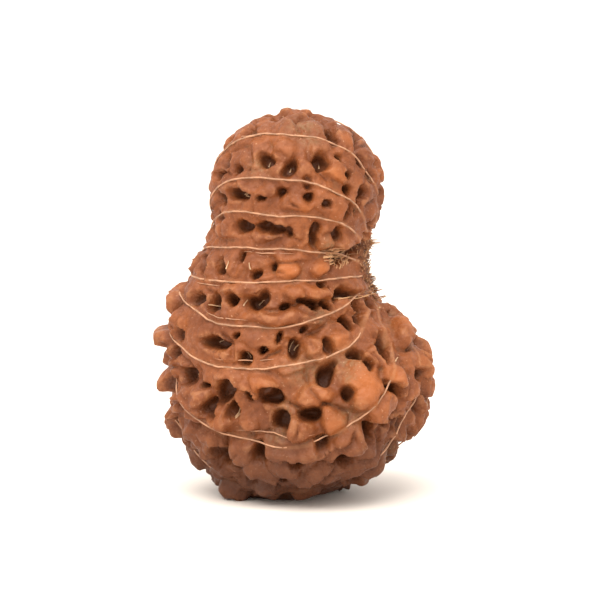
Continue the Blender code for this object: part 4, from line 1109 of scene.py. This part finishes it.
class Skin:
    """A material's node tree, with short ways to add what these finishes need."""

    def __init__(self, name, roughness):
        self.material = bpy.data.materials.new(name)
        self.material.use_nodes = True
        self.tree = self.material.node_tree
        self.shader = self.tree.nodes["Principled BSDF"]
        self.shader.inputs["Roughness"].default_value = roughness
        self.place = grow(self.tree, "ShaderNodeTexCoord").outputs["Object"]

    def join(self, source, target):
        """Links a socket, or sets a plain value."""
        if hasattr(source, "is_output"):
            self.tree.links.new(source, target)
        else:
            target.default_value = source

    def kept(self, name):
        """A number that the mesh keeps for each point."""
        return grow(self.tree, "ShaderNodeAttribute", attribute_name=name).outputs["Fac"]

    def speckle(self, length, detail):
        """Noise from 0 to 1 whose lumps are about this many millimetres long."""
        node = grow(self.tree, "ShaderNodeTexNoise", {
            "Scale": 1.0 / (length * MM), "Detail": detail, "Roughness": SPECKLE_ROUGHNESS,
        })
        self.join(self.place, node.inputs["Vector"])
        return node.outputs["Fac"]

    def step(self, value, start, full):
        """0 at the start and 1 where it is full, which may be the lower of the two."""
        low, high = sorted((start, full))
        first, last = (0.0, 1.0) if start < full else (1.0, 0.0)
        presets = {"From Min": low, "From Max": high, "To Min": first, "To Max": last}
        node = grow(self.tree, "ShaderNodeMapRange", presets, interpolation_type="SMOOTHSTEP")
        self.join(value, node.inputs["Value"])
        return node.outputs["Result"]

    def combine(self, operation, first, second):
        """Two numbers put together."""
        node = grow(self.tree, "ShaderNodeMath", operation=operation)
        self.join(first, node.inputs[0])
        self.join(second, node.inputs[1])
        return node.outputs["Value"]

    def blend(self, share, below, above):
        """Two colours mixed by a share."""
        node = grow(self.tree, "ShaderNodeMix", data_type="RGBA")
        self.join(share, node.inputs["Factor"])
        self.join(colour(below), node.inputs[MIX_BELOW])
        self.join(colour(above), node.inputs[MIX_ABOVE])
        return node.outputs[MIX_RESULT]

    def finish(self, base):
        """The material, with this as the shader's colour."""
        self.join(base, self.shader.inputs["Base Color"])
        return self.material


def colour(value):
    """A colour with its alpha, or the socket as it is."""
    return (*value, 1.0) if isinstance(value, tuple) else value


def skin_sources(skin):
    """What the skin's layers follow: speckles, numbers kept by the stone, height and dust, by name."""
    sources = {name: skin.speckle(*size) for name, size in SPECKLES.items()}
    for name in ("height", "sunk", "hollow", "beside_suture", "from_scar", "warmth"):
        sources[name] = skin.kept(name)
    place = grow(skin.tree, "ShaderNodeSeparateXYZ")
    skin.join(skin.place, place.inputs["Vector"])
    sources["up"] = place.outputs["Z"]
    creases = skin.step(sources["sunk"], *DUST_EDGES)
    creases = skin.combine("MULTIPLY", creases, skin.step(sources["grit"], *GRIT_EDGES))
    creases = skin.combine("MULTIPLY", creases, CREASE_DUST)
    sources["dusty"] = skin.combine("MAXIMUM", creases, skin.kept("dustiness"))
    return sources


def seed_skin():
    """The stone's waxy skin: red-brown, orange on some knobs, dusty in the creases, with painted shade in the
    pits, the grooves and towards the foot, and a painted highlight on the tops and the partly worn edges.
    """
    skin = Skin("seed_skin", LEAST_ROUGHNESS)
    sources = skin_sources(skin)
    base = skin.blend(skin.step(sources["patches"], *PATCH_EDGES), PLAIN_SKIN, LIGHT_SKIN)
    for factors, strength, tone in SKIN_LAYERS.values():
        share = strength
        for name, *edges in factors:
            factor = skin.step(sources[name], *edges) if edges else sources[name]
            share = skin.combine("MULTIPLY", factor, share)
        base = skin.blend(share, base, tone)
    rough = skin.combine("MULTIPLY", skin.step(sources["grain"], *ROUGH_EDGES), ROUGHNESS_RANGE)
    skin.join(skin.combine("ADD", rough, LEAST_ROUGHNESS), skin.shader.inputs["Roughness"])
    skin.shader.inputs["Specular IOR Level"].default_value = SKIN_SHINE
    normal = None
    for length, detail, depth in BUMPS:
        bump = grow(skin.tree, "ShaderNodeBump", {"Distance": depth * MM})
        skin.join(skin.speckle(length, detail), bump.inputs["Height"])
        if normal is not None:
            skin.join(normal, bump.inputs["Normal"])
        normal = bump.outputs["Normal"]
    skin.join(normal, skin.shader.inputs["Normal"])
    return skin.finish(base)


def pale_fibre(name, tone):
    """Dry pale fibre, uneven along its length."""
    skin = Skin(name, FIBRE_ROUGHNESS)
    darker = tuple(share * DARKER_SHARE for share in tone)
    return skin.finish(skin.blend(skin.step(skin.speckle(*PALE_SPECKLE), *PALE_EDGES), tone, darker))


def torn_fibre():
    """The scar's broken fibres, from dark brown to pale gold."""
    skin = Skin("torn_fibre", TORN_ROUGHNESS)
    tint = skin.kept("tint")
    base = skin.blend(skin.step(tint, *TORN_BROWN_EDGES), TORN_DARK, TORN_BROWN)
    return skin.finish(skin.blend(skin.step(tint, *TORN_PALE_EDGES), base, TORN_PALE))


def make_floor():
    """A wide floor of plain warm white under the seed."""
    bpy.ops.mesh.primitive_plane_add(size=FLOOR_SIZE)
    floor = bpy.context.active_object
    floor.name = "floor"
    paper = Skin("floor_paper", FLOOR_ROUGHNESS)
    floor.data.materials.append(paper.finish(paper.blend(paper.speckle(*FLOOR_SPECKLE), *FLOOR_COLOURS)))


def make_light():
    """Pale light from all round, and a soft broad panel above and in front."""
    world = bpy.data.worlds.new("pale_room")
    world.use_nodes = True
    background = world.node_tree.nodes["Background"]
    background.inputs["Color"].default_value = ROOM_COLOUR
    background.inputs["Strength"].default_value = ROOM_LIGHT
    bpy.context.scene.world = world
    bpy.context.scene.view_settings.view_transform = "Standard"
    panel = bpy.data.lights.new("soft_panel", "AREA")
    panel.energy = PANEL_POWER
    panel.size = PANEL_SIZE
    panel.color = PANEL_COLOUR
    lamp = bpy.data.objects.new("soft_panel", panel)
    bpy.context.scene.collection.objects.link(lamp)
    lamp.location = PANEL_PLACE
    aim = Vector(PANEL_AIM) - lamp.location
    lamp.rotation_euler = aim.to_track_quat("-Z", "Y").to_euler()


def make_camera(shift):
    """The eye of the photograph: in front and a little above the seed."""
    across, up, away = sight_axes()
    centre = across * PHOTO_CENTRE[0] + up * PHOTO_CENTRE[1]
    eye = centre - away * EYE_DISTANCE - shift
    camera = bpy.data.cameras.new("eye")
    camera.sensor_width = SENSOR
    camera.lens = SENSOR * EYE_DISTANCE / VIEW_WIDTH
    camera.clip_start = NEAREST_SEEN
    holder = bpy.data.objects.new("eye", camera)
    bpy.context.scene.collection.objects.link(holder)
    holder.location = Vector(eye * MM)
    holder.rotation_euler = Vector(away).to_track_quat("-Z", "Y").to_euler()
    bpy.context.scene.camera = holder


def main():
    """Makes the pieces, the floor, the light and the camera, and hands the pieces to the frame."""
    marks = all_marks()
    stone, shift = make_stone(*marks)
    pieces = [
        stone,
        make_suture_threads(marks, shift),
        make_pit_fibres(marks, shift),
        make_torn_fibres(marks, shift),
        make_scar_fibres(stone, shift),
    ]
    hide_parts(NODE_NAME)
    for piece in pieces:
        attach(piece, "root")
    make_floor()
    make_light()
    make_camera(shift)


main()
